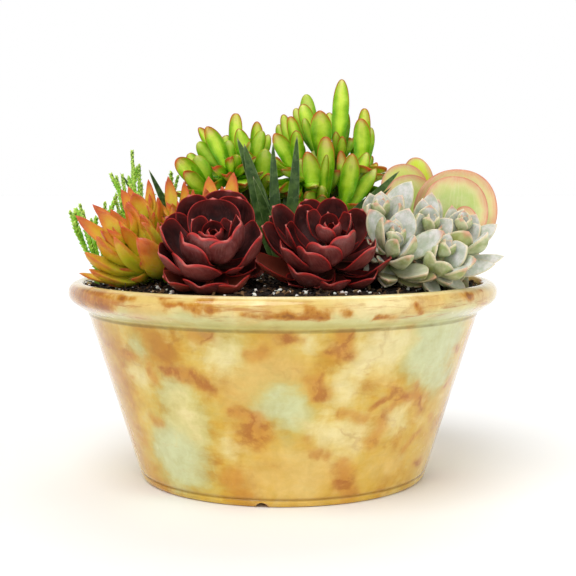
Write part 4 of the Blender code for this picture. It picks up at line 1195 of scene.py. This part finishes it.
def marble_layers(points):
    """How strongly each kind of patch shows at each point, with its outline warped by noise."""
    noise.seed_set(WARP_SEED)
    warped = []
    for point in points:
        place = Vector(point)
        for scale, share in SWIRLS:
            place = place + noise.noise_vector(Vector(point) * scale) * (share * WARP)
        warped.append(place)
    warped = np.array(warped)
    layers = {}
    for kind, lines in patch_places(random.Random(PATCH_SEED)).items():
        total = np.zeros(len(points))
        for start, end, radius in lines:
            start, run = np.array(start), np.subtract(end, start)
            share = np.clip((warped - start) @ run / max(run @ run, 1e-6), 0, 1)
            near = ((warped - start - share[:, None] * run) ** 2).sum(axis=1) / radius ** 2
            total += np.exp(-FALL * near)
            if kind == "brown":
                total += HALO * np.exp(-FALL * near / HALO_SPREAD ** 2)
        layers[kind] = DEPTH * (1 - np.exp(-GATHER * total))
    return layers


def make_pot():
    profile = refine(fine_pot_profile(), LONGEST_STRETCH)
    points, faces = lathe_mesh(profile, FINE_POT_SEGMENTS, True)
    points = np.array([tuple(p) for p in points])
    obj = mesh_object("glazed_pot", points, faces)
    layers = marble_layers(points)
    marble = obj.data.attributes.new("marble", "FLOAT_COLOR", "POINT")
    values = np.stack([layers[kind] for kind in ("brown", "mint", "pink", "pale")], axis=1)
    marble.data.foreach_set("color", values.astype(np.float32).ravel())
    notches = Shape()
    for azimuth in NOTCH_AZIMUTHS:
        out = axis_of(90, azimuth)
        out.z = 0
        path = [out * (FOOT_RADIUS - 12) - UP, out * (FOOT_RADIUS + 6) - UP]
        ring, sides = tube_mesh(path, [NOTCH_RADIUS] * 2, 24)
        notches.add([tuple(p) for p in ring], sides)
    cutter = notches.object("notches")
    cut = obj.modifiers.new("Notches", "BOOLEAN")
    cut.operation = "DIFFERENCE"
    cut.object = cutter
    bpy.context.view_layer.update()
    graph = bpy.context.evaluated_depsgraph_get()
    obj.data = bpy.data.meshes.new_from_object(obj.evaluated_get(graph))
    obj.modifiers.clear()
    bpy.data.objects.remove(cutter)
    obj.data.shade_smooth()
    obj.data.set_sharp_from_angle(angle=math.radians(50))
    return obj


# Soil
SOIL_RINGS = 66
SOIL_SPOKES = 264
BARK_BITS = 3000
FIBRES = 160
PERLITE_GRAINS = 620
BARK_SEED = 21
PERLITE_SEED = 33


def rough_soil(x, y):
    """Height of the uneven soil, which keeps to the rim at its edge."""
    lumps = 0.9 * noise.noise(Vector((x, y, 3)) * 0.09) + 0.7 * noise.noise(Vector((x, y, 9)) * 0.3)
    grit = 0.35 * noise.noise(Vector((x, y, 5)) * 0.9)
    return soil_top(x, y) - 0.5 + lumps + grit


def make_soil():
    shape = Shape()
    points = []
    for i in range(1, SOIL_RINGS + 1):
        radius = (SOIL_EDGE_RADIUS - 0.2) * i / SOIL_RINGS
        points += [(x, y, rough_soil(x, y)) for x, y in ring_places(radius, SOIL_SPOKES)]
    for radius, height in reversed(soil_profile()[:4]):
        points += [(x, y, height) for x, y in ring_places(radius, SOIL_SPOKES)]
    rings = len(points) // SOIL_SPOKES
    faces = ring_faces(rings, SOIL_SPOKES) + end_faces(rings, SOIL_SPOKES)
    shape.add(points, [tuple(reversed(face)) for face in faces])
    return shape.object("potting_soil")


def ground_place(luck):
    """A random place on the soil, and a little under its surface."""
    radius = (SOIL_EDGE_RADIUS - 1.5) * math.sqrt(luck.random())
    angle = luck.uniform(0, 2 * math.pi)
    x, y = radius * math.cos(angle), radius * math.sin(angle)
    return Vector((x, y, rough_soil(x, y)))


def make_bark():
    """Angular bark bits and thin fibres, half sunk in the soil."""
    luck = random.Random(BARK_SEED)
    shape = Shape()
    corners = [Vector((x, y, z)) for x in (-1, 1) for y in (-1, 1) for z in (-1, 1)]
    sides = [(0, 1, 3, 2), (4, 6, 7, 5), (0, 4, 5, 1), (2, 3, 7, 6), (0, 2, 6, 4), (1, 5, 7, 3)]
    for k in range(BARK_BITS + FIBRES):
        size = Vector((luck.uniform(0.7, 2.6), luck.uniform(0.35, 0.95), luck.uniform(0.2, 0.55)))
        if k >= BARK_BITS:
            size = Vector((luck.uniform(3.0, 6.5), 0.22, 0.18))
        turn = Quaternion(UP, luck.uniform(0, 2 * math.pi))
        pitch = Quaternion(Vector((0, 1, 0)), luck.gauss(0, 0.45))
        tilt = pitch @ Quaternion(Vector((1, 0, 0)), luck.gauss(0, 0.5))
        place = ground_place(luck) + UP * luck.uniform(-0.1, 0.7)
        points = []
        for corner in corners:
            jitter = Vector([luck.uniform(0.62, 1.1) for _ in range(3)])
            points.append(tuple(place + turn @ (tilt @ (corner * size * jitter))))
        shape.add(points, sides, chance=luck.random(), age=luck.random())
    obj = shape.object("soil_bark")
    obj.data.shade_flat()
    return obj


def make_perlite():
    """White perlite grains, as lumpy little stones."""
    luck = random.Random(PERLITE_SEED)
    ball = bmesh.new()
    bmesh.ops.create_icosphere(ball, subdivisions=2, radius=1.0)
    round_points = [v.co.copy() for v in ball.verts]
    sides = [tuple(v.index for v in f.verts) for f in ball.faces]
    ball.free()
    shape = Shape()
    for _ in range(PERLITE_GRAINS):
        radius = 0.45 + 1.0 * luck.random() ** 2.2
        place = ground_place(luck) + UP * (0.35 * radius)
        seed = Vector([luck.uniform(0, 90) for _ in range(3)])
        squash = Vector((1.0, luck.uniform(0.7, 1.0), luck.uniform(0.6, 0.9)))
        turn = Quaternion(UP, luck.uniform(0, 2 * math.pi))
        points = [
            tuple(place + turn @ (p * squash) * (radius * (1 + 0.35 * noise.noise(p * 1.5 + seed))))
            for p in round_points
        ]
        shape.add(points, sides, chance=luck.random())
    return shape.object("soil_perlite")


# Materials


def screen_colour(red, green, blue):
    """A colour of a screen, 0 to 255, as the light values that a shader takes."""
    def light(value):
        share = value / 255
        return share / 12.92 if share <= 0.04045 else ((share + 0.055) / 1.055) ** 2.4
    return (light(red), light(green), light(blue), 1.0)


class Value:
    """A number that varies over a surface. Arithmetic on it adds the shader's nodes."""

    def __init__(self, shader, socket):
        self.shader = shader
        self.socket = socket

    def __add__(self, other):
        return self.shader.math("ADD", self, other)

    def __sub__(self, other):
        return self.shader.math("SUBTRACT", self, other)

    def __mul__(self, other):
        return self.shader.math("MULTIPLY", self, other)

    def __abs__(self):
        return self.shader.math("ABSOLUTE", self)

    def span(self, low, high, start=0.0, end=1.0):
        """A smooth step of the number from low to high, as start to end."""
        node = self.shader.nodes.new("ShaderNodeMapRange")
        node.interpolation_type = "SMOOTHSTEP"
        for socket, number in zip(node.inputs, (self, low, high, start, end)):
            self.shader.feed(socket, number)
        return Value(self.shader, node.outputs[0])


class Shader:
    """A Principled material, painted layer by layer. Colours are a screen's, 0 to 255."""

    def __init__(self, name, **constants):
        self.material = bpy.data.materials.new(name)
        self.material.use_nodes = True
        self.nodes = self.material.node_tree.nodes
        self.links = self.material.node_tree.links
        self.surface = self.nodes["Principled BSDF"]
        for socket, value in constants.items():
            self.surface.inputs[socket.replace("_", " ")].default_value = value
        self.coordinates = self.nodes.new("ShaderNodeTexCoord").outputs["Object"]
        self.colour = None

    def feed(self, socket, value):
        if isinstance(value, Value):
            value = value.socket
        if isinstance(value, bpy.types.NodeSocket):
            self.links.new(value, socket)
        elif isinstance(value, tuple):
            socket.default_value = screen_colour(*value)
        else:
            socket.default_value = value

    def attribute(self, name):
        node = self.nodes.new("ShaderNodeAttribute")
        node.attribute_name = name
        return node.outputs

    def values(self, *names):
        """The values that a piece holds for each of its points."""
        return [Value(self, self.attribute(name)["Fac"]) for name in names]

    def split(self, kind, source):
        """The three numbers of a colour or of a place."""
        node = self.nodes.new(kind)
        self.links.new(source, node.inputs[0])
        return [Value(self, part) for part in node.outputs]

    def math(self, operation, first, second=0.0):
        node = self.nodes.new("ShaderNodeMath")
        node.operation = operation
        self.feed(node.inputs[0], first)
        self.feed(node.inputs[1], second)
        return Value(self, node.outputs[0])

    def pattern(self, source, scale, detail, roughness, distortion=0.0):
        node = self.nodes.new("ShaderNodeTexNoise")
        settings = dict(Scale=scale, Detail=detail, Roughness=roughness, Distortion=distortion)
        for socket, number in settings.items():
            node.inputs[socket].default_value = number
        self.links.new(source, node.inputs["Vector"])
        return Value(self, node.outputs["Fac"])

    def noise(self, scale, detail=4.0, roughness=0.55, stretch=None, distortion=0.0):
        """Noise whose scale is in features per metre, over the piece's own coordinates."""
        source = self.coordinates
        if stretch:
            mapping = self.nodes.new("ShaderNodeMapping")
            mapping.inputs["Scale"].default_value = stretch
            self.links.new(source, mapping.inputs["Vector"])
            source = mapping.outputs["Vector"]
        return self.pattern(source, scale, detail, roughness, distortion)

    def fibres(self, across=7.0, lengthwise=1.6):
        """Fine streaks that run along a leaf, by its own values."""
        join = self.nodes.new("ShaderNodeCombineXYZ")
        middle, along, chance = self.values("middle", "along", "chance")
        for socket, part in zip(join.inputs, (middle * across, along * lengthwise, chance * 50.0)):
            self.feed(socket, part)
        return self.pattern(join.outputs[0], 3.0, 5.0, 0.6)

    def mix(self, amount, below, above, blend="MIX"):
        node = self.nodes.new("ShaderNodeMix")
        node.data_type = "RGBA"
        node.blend_type = blend
        self.feed(node.inputs[0], amount)
        self.feed(node.inputs[6], below)
        self.feed(node.inputs[7], above)
        return node.outputs[2]

    def paint(self, label, amount, colour):
        """A named layer over the colour so far, as strong as the amount at each point."""
        self.colour = self.mix(amount, self.colour, colour)
        self.colour.node.label = label

    def ramp(self, value, *stops):
        """The colour at a value, from stops of (value, red, green, blue)."""
        node = self.nodes.new("ShaderNodeValToRGB")
        points = node.color_ramp.elements
        while len(points) < len(stops):
            points.new(0.5)
        for point, (place, *colour) in zip(points, stops):
            point.position = place
            point.color = screen_colour(*colour)
        self.feed(node.inputs[0], value)
        return node.outputs[0]

    def bump(self, height, distance, strength=1.0):
        node = self.nodes.new("ShaderNodeBump")
        node.inputs["Strength"].default_value = strength
        node.inputs["Distance"].default_value = distance * MM
        self.feed(node.inputs["Height"], height)
        self.links.new(node.outputs[0], self.surface.inputs["Normal"])

    def finish(self, scale=None, detail=4.0, smoothest=0.0, roughest=1.0):
        """The material, rough by noise of this scale and detail where a scale is given."""
        self.feed(self.surface.inputs["Base Color"], self.colour)
        if scale:
            rough = self.noise(scale, detail).span(0.3, 0.7, smoothest, roughest)
            self.feed(self.surface.inputs["Roughness"], rough)
        return self.material

    def paint_stem(self, green, brown):
        """Stems are green and pale bark, mixed in patches by noise."""
        bark = self.mix(self.noise(900, 5).span(0.35, 0.65), brown, green)
        self.paint("stem", self.values("stem")[0], bark)


def burgundy_leaf():
    s = Shader("burgundy_leaf", Subsurface_Weight=0.05, Subsurface_Scale=0.004, Specular_IOR_Level=0.5)
    upper, along, margin, chance, age = s.values("upper", "along", "margin", "chance", "age")
    fibres = s.fibres()
    bloom = s.noise(420, 6, 0.7, distortion=0.6).span(0.5, 0.78)
    s.colour = s.mix(s.noise(140).span(0.35, 0.7), (40, 16, 16), (80, 34, 32))
    s.paint("inner fibres", fibres.span(0.45, 0.75, 0.0, 0.6), (112, 56, 52))
    s.paint("inner bloom", bloom * 0.3, (128, 92, 92))
    inner = s.colour
    s.colour = s.mix(s.noise(110).span(0.35, 0.7), (94, 37, 35), (136, 66, 60))
    s.paint("back fibres", fibres.span(0.4, 0.75, 0.0, 0.5), (160, 104, 98))
    s.paint("back bloom", bloom * 0.42, (172, 132, 124))
    s.paint("inner face", upper, inner)
    s.paint("red border", (margin + fibres * 3.0).span(1.6, 5.0, 0.5, 0.0), (124, 42, 40))
    s.paint("olive root", along.span(0.0, 0.3, 0.55, 0.0), (74, 62, 36))
    s.paint("old leaf", age.span(0.72, 1.0) * chance.span(0.3, 0.9) * 0.6, (172, 82, 58))
    rim = margin.span(0.1, 0.6, 1.0, 0.0) * along.span(0.12, 0.4)
    s.paint("bright rim", rim * 0.9, (198, 42, 38))
    s.paint("tip", along.span(0.985, 1.0) * margin.span(0.0, 1.2, 1.0, 0.0), (206, 104, 96))
    s.paint_stem((96, 60, 42), (120, 92, 66))
    s.bump(s.noise(700, 5, 0.6) + fibres, 0.25, 0.35)
    return s.finish(260, 5, 0.3, 0.48)


def golden_leaf():
    s = Shader("golden_leaf", Subsurface_Weight=0.1, Subsurface_Scale=0.004, Specular_IOR_Level=0.3)
    upper, along, margin, middle = s.values("upper", "along", "margin", "middle")
    chance, age = s.values("chance", "age")
    drift = along + (s.noise(170, 4) - 0.5) * 0.6
    sunny = s.ramp(
        drift, (0.0, 140, 172, 16), (0.28, 204, 196, 38), (0.55, 228, 170, 44), (0.8, 218, 118, 42),
        (1.0, 186, 66, 38),
    )
    green = s.ramp(
        drift, (0.0, 98, 134, 8), (0.5, 174, 190, 22), (0.8, 216, 188, 44), (1.0, 206, 110, 42),
    )
    s.colour = s.mix(age.span(0.35, 0.85) * chance.span(0.0, 0.45), sunny, green)
    # Painted highlight: lime light down the middle of each leaf along its keel, fading out towards the tip.
    s.paint("painted keel highlight", middle.span(0.25, 0.95) * along.span(0.98, 0.4) * 0.65, (214, 206, 50))
    s.paint("paler face", upper * 0.1, (236, 176, 92))
    rim = margin.span(0.0, 0.6, 1.0, 0.0) * along.span(0.25, 0.75)
    s.paint("red rim", rim * 0.6, (196, 66, 42))
    s.paint("fibres", s.fibres().span(0.45, 0.75, 0.0, 0.35), (196, 132, 56))
    s.paint("bloom", s.noise(500, 6, 0.65).span(0.45, 0.8) * 0.16, (238, 206, 150))
    s.paint_stem((140, 132, 70), (140, 106, 70))
    s.bump(s.noise(800, 5, 0.6), 0.2, 0.3)
    return s.finish(300, 5, 0.26, 0.44)


def ghost_leaf():
    s = Shader(
        "ghost_leaf", Subsurface_Weight=0.08, Subsurface_Scale=0.003, Sheen_Weight=0.1,
        Specular_IOR_Level=0.35,
    )
    upper, along, margin, middle = s.values("upper", "along", "margin", "middle")
    chance, age = s.values("chance", "age")
    sway = (s.noise(190, 5) - 0.5) * 0.8
    # The upper faces take a paler, whiter colour: partly the leaf's own powder, partly painted top light.
    powder = s.mix((s.noise(240, 5, 0.6) + sway).span(0.25, 0.75), (188, 196, 182), (240, 236, 238))
    s.colour = s.mix((s.noise(160, 5) + sway).span(0.25, 0.75), (140, 158, 82), (206, 210, 168))
    s.paint("powder and painted top light", upper, powder)
    s.paint("green root", (along + sway * 0.4).span(0.0, 0.5, 0.9, 0.0), (134, 156, 76))
    # Greener towards the sides of each leaf: partly its own colour, partly painted shade at the sides.
    side = (middle + sway).span(0.0, 0.45, 1.0, 0.0) * chance.span(0.2, 0.9, 0.15, 0.6)
    s.paint("green sides and painted side shade", side, (178, 188, 136))
    s.paint("old leaf", age.span(0.55, 1.0) * chance.span(0.1, 0.6) * 0.8, (172, 172, 84))
    rim = margin.span(0.05, 0.6, 1.0, 0.0) * along.span(0.15, 0.5)
    s.paint("cream rim", rim * 0.7, (240, 222, 190))
    s.paint("pink tip", along.span(0.88, 1.0) * chance.span(0.3, 0.7) * 0.75, (206, 136, 108))
    s.paint("fibres", s.fibres().span(0.45, 0.75, 0.0, 0.4), (186, 192, 160))
    rubbed = s.noise(520, 6, 0.7, distortion=0.4).span(0.55, 0.7)
    s.paint("rubbed powder", rubbed * 0.35, (150, 164, 118))
    s.paint_stem((150, 160, 112), (150, 128, 96))
    s.bump(s.noise(900, 5, 0.65), 0.15, 0.3)
    return s.finish(300, 5, 0.42, 0.62)


def jade_leaf():
    s = Shader(
        "jade_leaf", Subsurface_Weight=0.12, Subsurface_Scale=0.004, Specular_IOR_Level=0.14,
        Coat_Weight=0.08, Coat_Roughness=0.12,
    )
    along, margin, middle, chance = s.values("along", "margin", "middle", "chance")
    sway = (s.noise(160, 4) - 0.5) * 0.7
    drift = along + sway
    # The base colour darkens towards each leaf's root: partly its own colour, partly painted shade at the
    # leaf bases.
    s.colour = s.ramp(
        drift, (0.0, 52, 108, 4), (0.45, 102, 168, 14), (0.85, 148, 202, 32), (1.0, 178, 208, 56),
    )
    # Painted highlight: a lighter, yellower middle down each leaf, which leaves the sides darker as painted
    # shade.
    heart = s.ramp(
        drift, (0.0, 136, 196, 18), (0.4, 196, 232, 52), (0.8, 224, 246, 92), (1.0, 236, 240, 140),
    )
    s.paint("painted highlight down the middle", (middle + sway).span(0.12, 0.9), heart)
    s.paint("darker leaf", chance.span(0.0, 0.5, 0.3, 0.0), (70, 138, 0))
    s.paint("fibres", s.fibres().span(0.45, 0.75, 0.0, 0.35), (112, 172, 20))
    s.paint("speckle", s.noise(1500, 3, 0.6).span(0.6, 0.75) * 0.3, (206, 226, 120))
    rim = margin.span(0.1, 0.8, 1.0, 0.0) * along.span(0.5, 0.85) * chance.span(0.0, 0.5, 0.3, 1.0)
    s.paint("red rim", rim * 0.85, (160, 52, 26))
    blush = drift.span(0.72, 1.1) * chance.span(0.58, 0.76) * margin.span(0.5, 2.6, 1.0, 0.35)
    s.paint("blush", blush * 0.85, (200, 82, 36))
    s.paint_stem((84, 112, 34), (104, 88, 54))
    s.bump(s.noise(500, 4, 0.5), 0.25, 0.3)
    return s.finish(240, 4, 0.22, 0.38)


def spear_leaf():
    s = Shader("spear_leaf", Specular_IOR_Level=0.3)
    along, margin, chance = s.values("along", "margin", "chance")
    bands = s.math("SINE", (along + s.noise(260, 4) * 0.35 + chance) * 42.0)
    s.colour = s.mix(s.noise(200, 5).span(0.35, 0.7), (40, 70, 24), (76, 106, 42))
    s.paint("bands", bands.span(0.15, 0.9, 0.0, 0.22), (120, 150, 84))
    streaks = s.noise(900, 4, 0.6, stretch=(1, 1, 0.12)).span(0.5, 0.72)
    s.paint("streaks", streaks * 0.3, (96, 124, 76))
    s.paint("dark root", along.span(0.0, 0.4, 0.7, 0.0), (40, 66, 24))
    s.paint("pale rim", margin.span(0.0, 0.5, 0.6, 0.0), (150, 170, 120))
    s.paint("dry tip", along.span(0.97, 1.0, 0.0, 0.8), (150, 110, 70))
    s.paint_stem((86, 116, 66), (120, 110, 80))
    s.bump(s.noise(700, 4, stretch=(1, 1, 0.2)), 0.2, 0.4)
    return s.finish(200, 4, 0.3, 0.5)


def paddle_leaf():
    s = Shader("paddle_leaf", Subsurface_Weight=0.12, Subsurface_Scale=0.006)
    along, margin, age = s.values("along", "margin", "age")
    inward = margin + (s.noise(130, 4) - 0.5) * 5.0
    s.colour = s.mix(s.noise(90, 5).span(0.35, 0.7), (190, 212, 118), (222, 226, 166))
    s.paint("green root", along.span(0.1, 0.75, 0.85, 0.0), (160, 206, 74))
    s.paint("cream border", inward.span(2.0, 8.0, 0.8, 0.0), (238, 222, 158))
    s.paint("pink border", inward.span(0.2, 4.2, 0.75, 0.0), (226, 150, 126))
    s.paint("sunlit disc", age.span(0.1, 1.0) * inward.span(0.4, 3.0, 0.2, 0.9), (214, 238, 34))
    s.paint("red rim", margin.span(0.1, 0.9, 0.75, 0.0), (206, 92, 82))
    veins = s.noise(420, 5, 0.65, stretch=(1, 1, 0.3)).span(0.5, 0.75)
    s.paint("veins", veins * 0.25, (240, 236, 190))
    s.paint("fibres", s.fibres(9.0, 1.0).span(0.45, 0.75, 0.0, 0.35), (236, 234, 184))
    s.paint_stem((166, 190, 90), (150, 140, 90))
    s.bump(s.noise(500, 5, 0.6), 0.3, 0.25)
    return s.finish(220, 5, 0.36, 0.55)


def chain_leaf():
    s = Shader("chain_leaf", Subsurface_Weight=0.06, Subsurface_Scale=0.002, Specular_IOR_Level=0.3)
    along, chance, age = s.values("along", "chance", "age")
    s.colour = s.mix(chance.span(0.0, 1.0), (126, 196, 34), (186, 232, 84))
    s.paint("pale end", age.span(0.0, 0.45, 0.8, 0.0), (206, 232, 120))
    s.paint("dark root", along.span(0.1, 0.6, 0.25, 0.0), (90, 142, 36))
    s.paint("speckle", s.noise(1400, 4).span(0.5, 0.8, 0.0, 0.3), (200, 220, 130))
    s.paint_stem((96, 146, 36), (104, 132, 40))
    s.bump(s.noise(1500, 3), 0.1, 0.3)
    return s.finish(400, 4, 0.4, 0.6)


def glaze():
    s = Shader("marbled_glaze", Coat_Weight=0.75, Coat_Roughness=0.06, Specular_IOR_Level=0.08)
    marble = s.attribute("marble")
    brown, mint, pink = s.split("ShaderNodeSeparateColor", marble["Color"])
    pale = Value(s, marble["Alpha"])
    height = s.split("ShaderNodeSeparateXYZ", s.coordinates)[2] * 1000.0
    cloud = s.noise(34, 6, 0.5, distortion=0.5)
    wisps = s.noise(75, 8, 0.62, distortion=0.5) - 0.5
    brush = s.noise(210, 6, 0.62, stretch=(0.5, 0.5, 1.6), distortion=0.3) - 0.5
    grain = s.noise(420, 5, 0.6) - 0.5
    lines = s.noise(120, 8, 0.7, stretch=(0.3, 0.3, 3.2), distortion=0.4)
    ridge = abs(s.noise(30, 6, 0.58, distortion=0.3) - 0.5)
    soft = wisps * 1.1 + brush * 0.5
    torn = wisps * 2.2 + grain * 0.8
    rim = height.span(84.0, 88.0)
    s.colour = s.ramp(
        cloud + soft * 0.3, (0.3, 192, 132, 28), (0.42, 206, 154, 40), (0.52, 216, 174, 60),
        (0.62, 220, 184, 78), (0.74, 230, 202, 112),
    )
    light = (s.noise(50, 2, 0.5, distortion=0.4) + soft * 0.4).span(0.54, 0.8)
    s.paint("light clouds", light * 0.5, (246, 224, 150))
    s.paint("pink", (pink + soft).span(0.0, 1.2, 0.0, 0.75), (228, 192, 114))
    s.paint("around the mint", (mint + soft).span(0.0, 1.1, 0.0, 0.8), (190, 191, 112))
    s.paint("mint", (mint + soft).span(0.4, 1.2, 0.0, 0.8), (213, 220, 176))
    s.paint("around the pale", (pale + soft).span(0.0, 0.9, 0.0, 0.75), (230, 208, 122))
    s.paint("pale", (pale + soft).span(0.35, 1.1, 0.0, 0.75), (242, 230, 176))
    s.paint("lighter rim", rim * 0.4, (242, 222, 164))
    low = rim * (height + wisps * 9.0).span(88.0, 93.0, 0.7, 0.0) * cloud.span(0.42, 0.6, 0.15, 1.0)
    s.paint("green under the rim", low, (204, 210, 150))
    s.paint("around the brown", (brown + torn * 0.22).span(0.06, 0.7, 0.0, 0.62), (212, 152, 54))
    broken = (brown + torn * 0.8).span(0.5, 1.25) * ridge.span(0.0, 0.2, 1.0, 0.4)
    s.paint("brown", broken * 0.5, (196, 118, 34))
    s.paint("amber rim", rim * (brown + torn).span(0.3, 0.85, 0.0, 0.85), (190, 126, 8))
    s.paint("burnt rim", rim * (brown + torn).span(0.75, 1.15, 0.0, 0.75), (132, 70, 4))
    near = ridge.span(0.0, 0.045, 1.0, 0.0) * brown.span(0.2, 0.9)
    vein = ridge.span(0.0, 0.03, 1.0, 0.0) * cloud.span(0.4, 0.55, 0.4, 0.0)
    vein = s.math("MAXIMUM", vein * mint.span(0.3, 0.8, 1.0, 0.2), near)
    s.paint("veins", vein * 0.6, (166, 88, 24))
    edge = brown + torn * 0.7
    edge = edge.span(0.35, 0.85) * edge.span(0.85, 1.3, 1.0, 0.3) * s.noise(46, 4, 0.5).span(0.42, 0.62)
    s.paint("dark edge of the brown", edge * 0.24, (166, 90, 14))
    s.paint("brush marks", brush.span(0.06, 0.28) * 0.25, (190, 132, 44))
    s.paint("specks", s.noise(1100, 3, 0.6).span(0.7, 0.78) * 0.3, (140, 90, 44))
    s.paint("lines along the rim", rim * lines.span(0.52, 0.68) * 0.7, (178, 106, 32))
    cove = height.span(LEDGE + 0.4, LEDGE + 2.2) * height.span(88.5, 85.4)
    s.paint("cove over the ledge", cove * 0.6, (190, 196, 130))
    # Painted shade: a broken dark line in the crease where the ledge under the rim meets the wall.
    crease = height.span(LEDGE - 0.5, LEDGE + 0.3) * height.span(LEDGE + 1.8, LEDGE + 0.8)
    s.paint("painted shade in the crease", crease * lines.span(0.3, 0.6, 0.2, 0.65), (120, 106, 44))
    # Painted highlight: a cream band along the top edge of the rim, standing for the glaze's reflection.
    s.paint("painted highlight on the upper edge", height.span(97.2, 98.7) * 0.6, (248, 232, 176))
    # Painted shade: a darker band in the groove above the foot.
    s.paint("painted shade in the foot groove", height.span(2.6, 3.4) * height.span(5.0, 3.9) * 0.4, (138, 96, 44))
    mottle = s.noise(130, 7, 0.66, distortion=0.4)
    mottle = s.ramp(mottle, (0.3, 238.61, 234.9, 224.61), (0.62, 255, 255, 255))
    s.colour = s.mix(1.0, s.colour, mottle, "MULTIPLY")
    s.bump(s.noise(120, 3, 0.5), 0.5, 0.06)
    return s.finish(160, 5, 0.14, 0.28)


def soil_mix():
    s = Shader("dark_soil", Specular_IOR_Level=0.25)
    s.colour = s.ramp(
        s.noise(900, 8, 0.75), (0.3, 14, 10, 8), (0.5, 40, 29, 21), (0.64, 74, 54, 38),
        (0.76, 120, 92, 64),
    )
    s.bump(s.noise(1300, 8, 0.8), 0.9, 0.9)
    return s.finish(500, 4, 0.8, 0.98)


def bark_bits():
    s = Shader("bark_bits", Specular_IOR_Level=0.3)
    chance, = s.values("chance")
    fibre = s.noise(1600, 5, 0.7, stretch=(1, 0.35, 1))
    s.colour = s.ramp(
        chance, (0.0, 14, 10, 8), (0.55, 42, 29, 20), (0.82, 84, 58, 36), (0.94, 132, 98, 62),
        (1.0, 176, 148, 108),
    )
    s.paint("dark fibres", fibre.span(0.4, 0.7, 0.0, 0.5), (20, 14, 10))
    s.bump(fibre, 0.3, 0.6)
    return s.finish(700, 4, 0.7, 0.95)


def perlite():
    s = Shader("perlite", Subsurface_Weight=0.1, Subsurface_Scale=0.002)
    s.colour = s.mix(s.noise(1300, 6, 0.7).span(0.48, 0.7) * 0.55, (238, 234, 226), (164, 148, 126))
    s.bump(s.noise(2600, 5, 0.7), 0.25, 0.7)
    return s.finish(900, 4, 0.6, 0.85)


def pale_paper():
    s = Shader("pale_floor", Specular_IOR_Level=0.1, Roughness=0.8)
    s.colour = s.mix(s.noise(3, 4).span(0.3, 0.7), (246, 246, 245), (250, 250, 249))
    return s.finish()


LEAF_LOOKS = {
    "cupped": burgundy_leaf,
    "pointed": golden_leaf,
    "diamond": ghost_leaf,
    "finger": jade_leaf,
    "spear": spear_leaf,
    "paddle": paddle_leaf,
    "chain": chain_leaf,
}

# Stage
FLOOR_SIZE = 60000.0

# Soft suns, as (name, degrees right of the camera's side, degrees up, spread, power).
SUNS = (("key", -26, 58, 44, 1.95), ("fill", 60, 34, 50, 0.5), ("back", 170, 55, 40, 0.75))

# The white sky fades with height, as (from, to, strength before, strength after).
SKY_FADE = (0.2, 0.42, 1.0, 0.32)


def make_floor():
    half = FLOOR_SIZE / 2
    corners = [(-half, -half, 0), (half, -half, 0), (half, half, 0), (-half, half, 0)]
    floor = mesh_object("floor", corners, [(0, 1, 2, 3)])
    floor.data.materials.append(pale_paper())


def soft_sun(name, turn, height, spread, power):
    light = bpy.data.lights.new(name, "SUN")
    light.angle = math.radians(spread)
    light.energy = power
    turn, height = math.radians(turn), math.radians(height)
    level = math.cos(height)
    towards = Vector((math.sin(turn) * level, -math.cos(turn) * level, math.sin(height)))
    obj = linked(name, light)
    obj.rotation_mode = "QUATERNION"
    obj.rotation_quaternion = towards.to_track_quat("Z", "Y")


def make_sky():
    world = bpy.data.worlds.new("white")
    world.use_nodes = True
    nodes, links = world.node_tree.nodes, world.node_tree.links
    split = nodes.new("ShaderNodeSeparateXYZ")
    links.new(nodes.new("ShaderNodeTexCoord").outputs["Generated"], split.inputs[0])
    fade = nodes.new("ShaderNodeMapRange")
    fade.interpolation_type = "SMOOTHSTEP"
    for socket, number in zip(fade.inputs[1:5], SKY_FADE):
        socket.default_value = number
    links.new(split.outputs["Z"], fade.inputs[0])
    links.new(fade.outputs[0], nodes["Background"].inputs["Strength"])
    nodes["Background"].inputs["Color"].default_value = (1, 1, 1, 1)
    bpy.context.scene.world = world
    bpy.context.scene.view_settings.view_transform = "Standard"


def make_camera():
    """The photograph's eye, which looks a little down."""
    camera = bpy.data.cameras.new("camera")
    camera.sensor_width = SENSOR
    camera.lens = SENSOR * VIEW_FOCUS / VIEW_SIZE
    obj = linked("camera", camera)
    obj.location = EYE * MM
    obj.rotation_euler = (math.radians(90 - VIEW_PITCH), 0, 0)
    bpy.context.scene.camera = obj


def dress(obj, material):
    obj.data.materials.clear()
    obj.data.materials.append(material)
    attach(obj, "root")


def main():
    make_camera()
    make_floor()
    for sun in SUNS:
        soft_sun(*sun)
    make_sky()
    pot = make_pot()
    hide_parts("pot")
    dress(pot, glaze())
    soil = make_soil()
    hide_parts("soil")
    dress(soil, soil_mix())
    dress(make_bark(), bark_bits())
    dress(make_perlite(), perlite())
    plants = planting()
    settle(plants, [
        obstacle(*lathe_mesh(pot_profile(), POT_SEGMENTS, True)),
        obstacle(*lathe_mesh(soil_profile(), SOIL_SEGMENTS, False)),
    ])
    looks = {form: make() for form, make in LEAF_LOOKS.items()}
    for plant in plants:
        obj = fine_plant(plant)
        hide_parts(plant["name"])
        form = plant["form"]
        dress(obj, looks[form])


main()
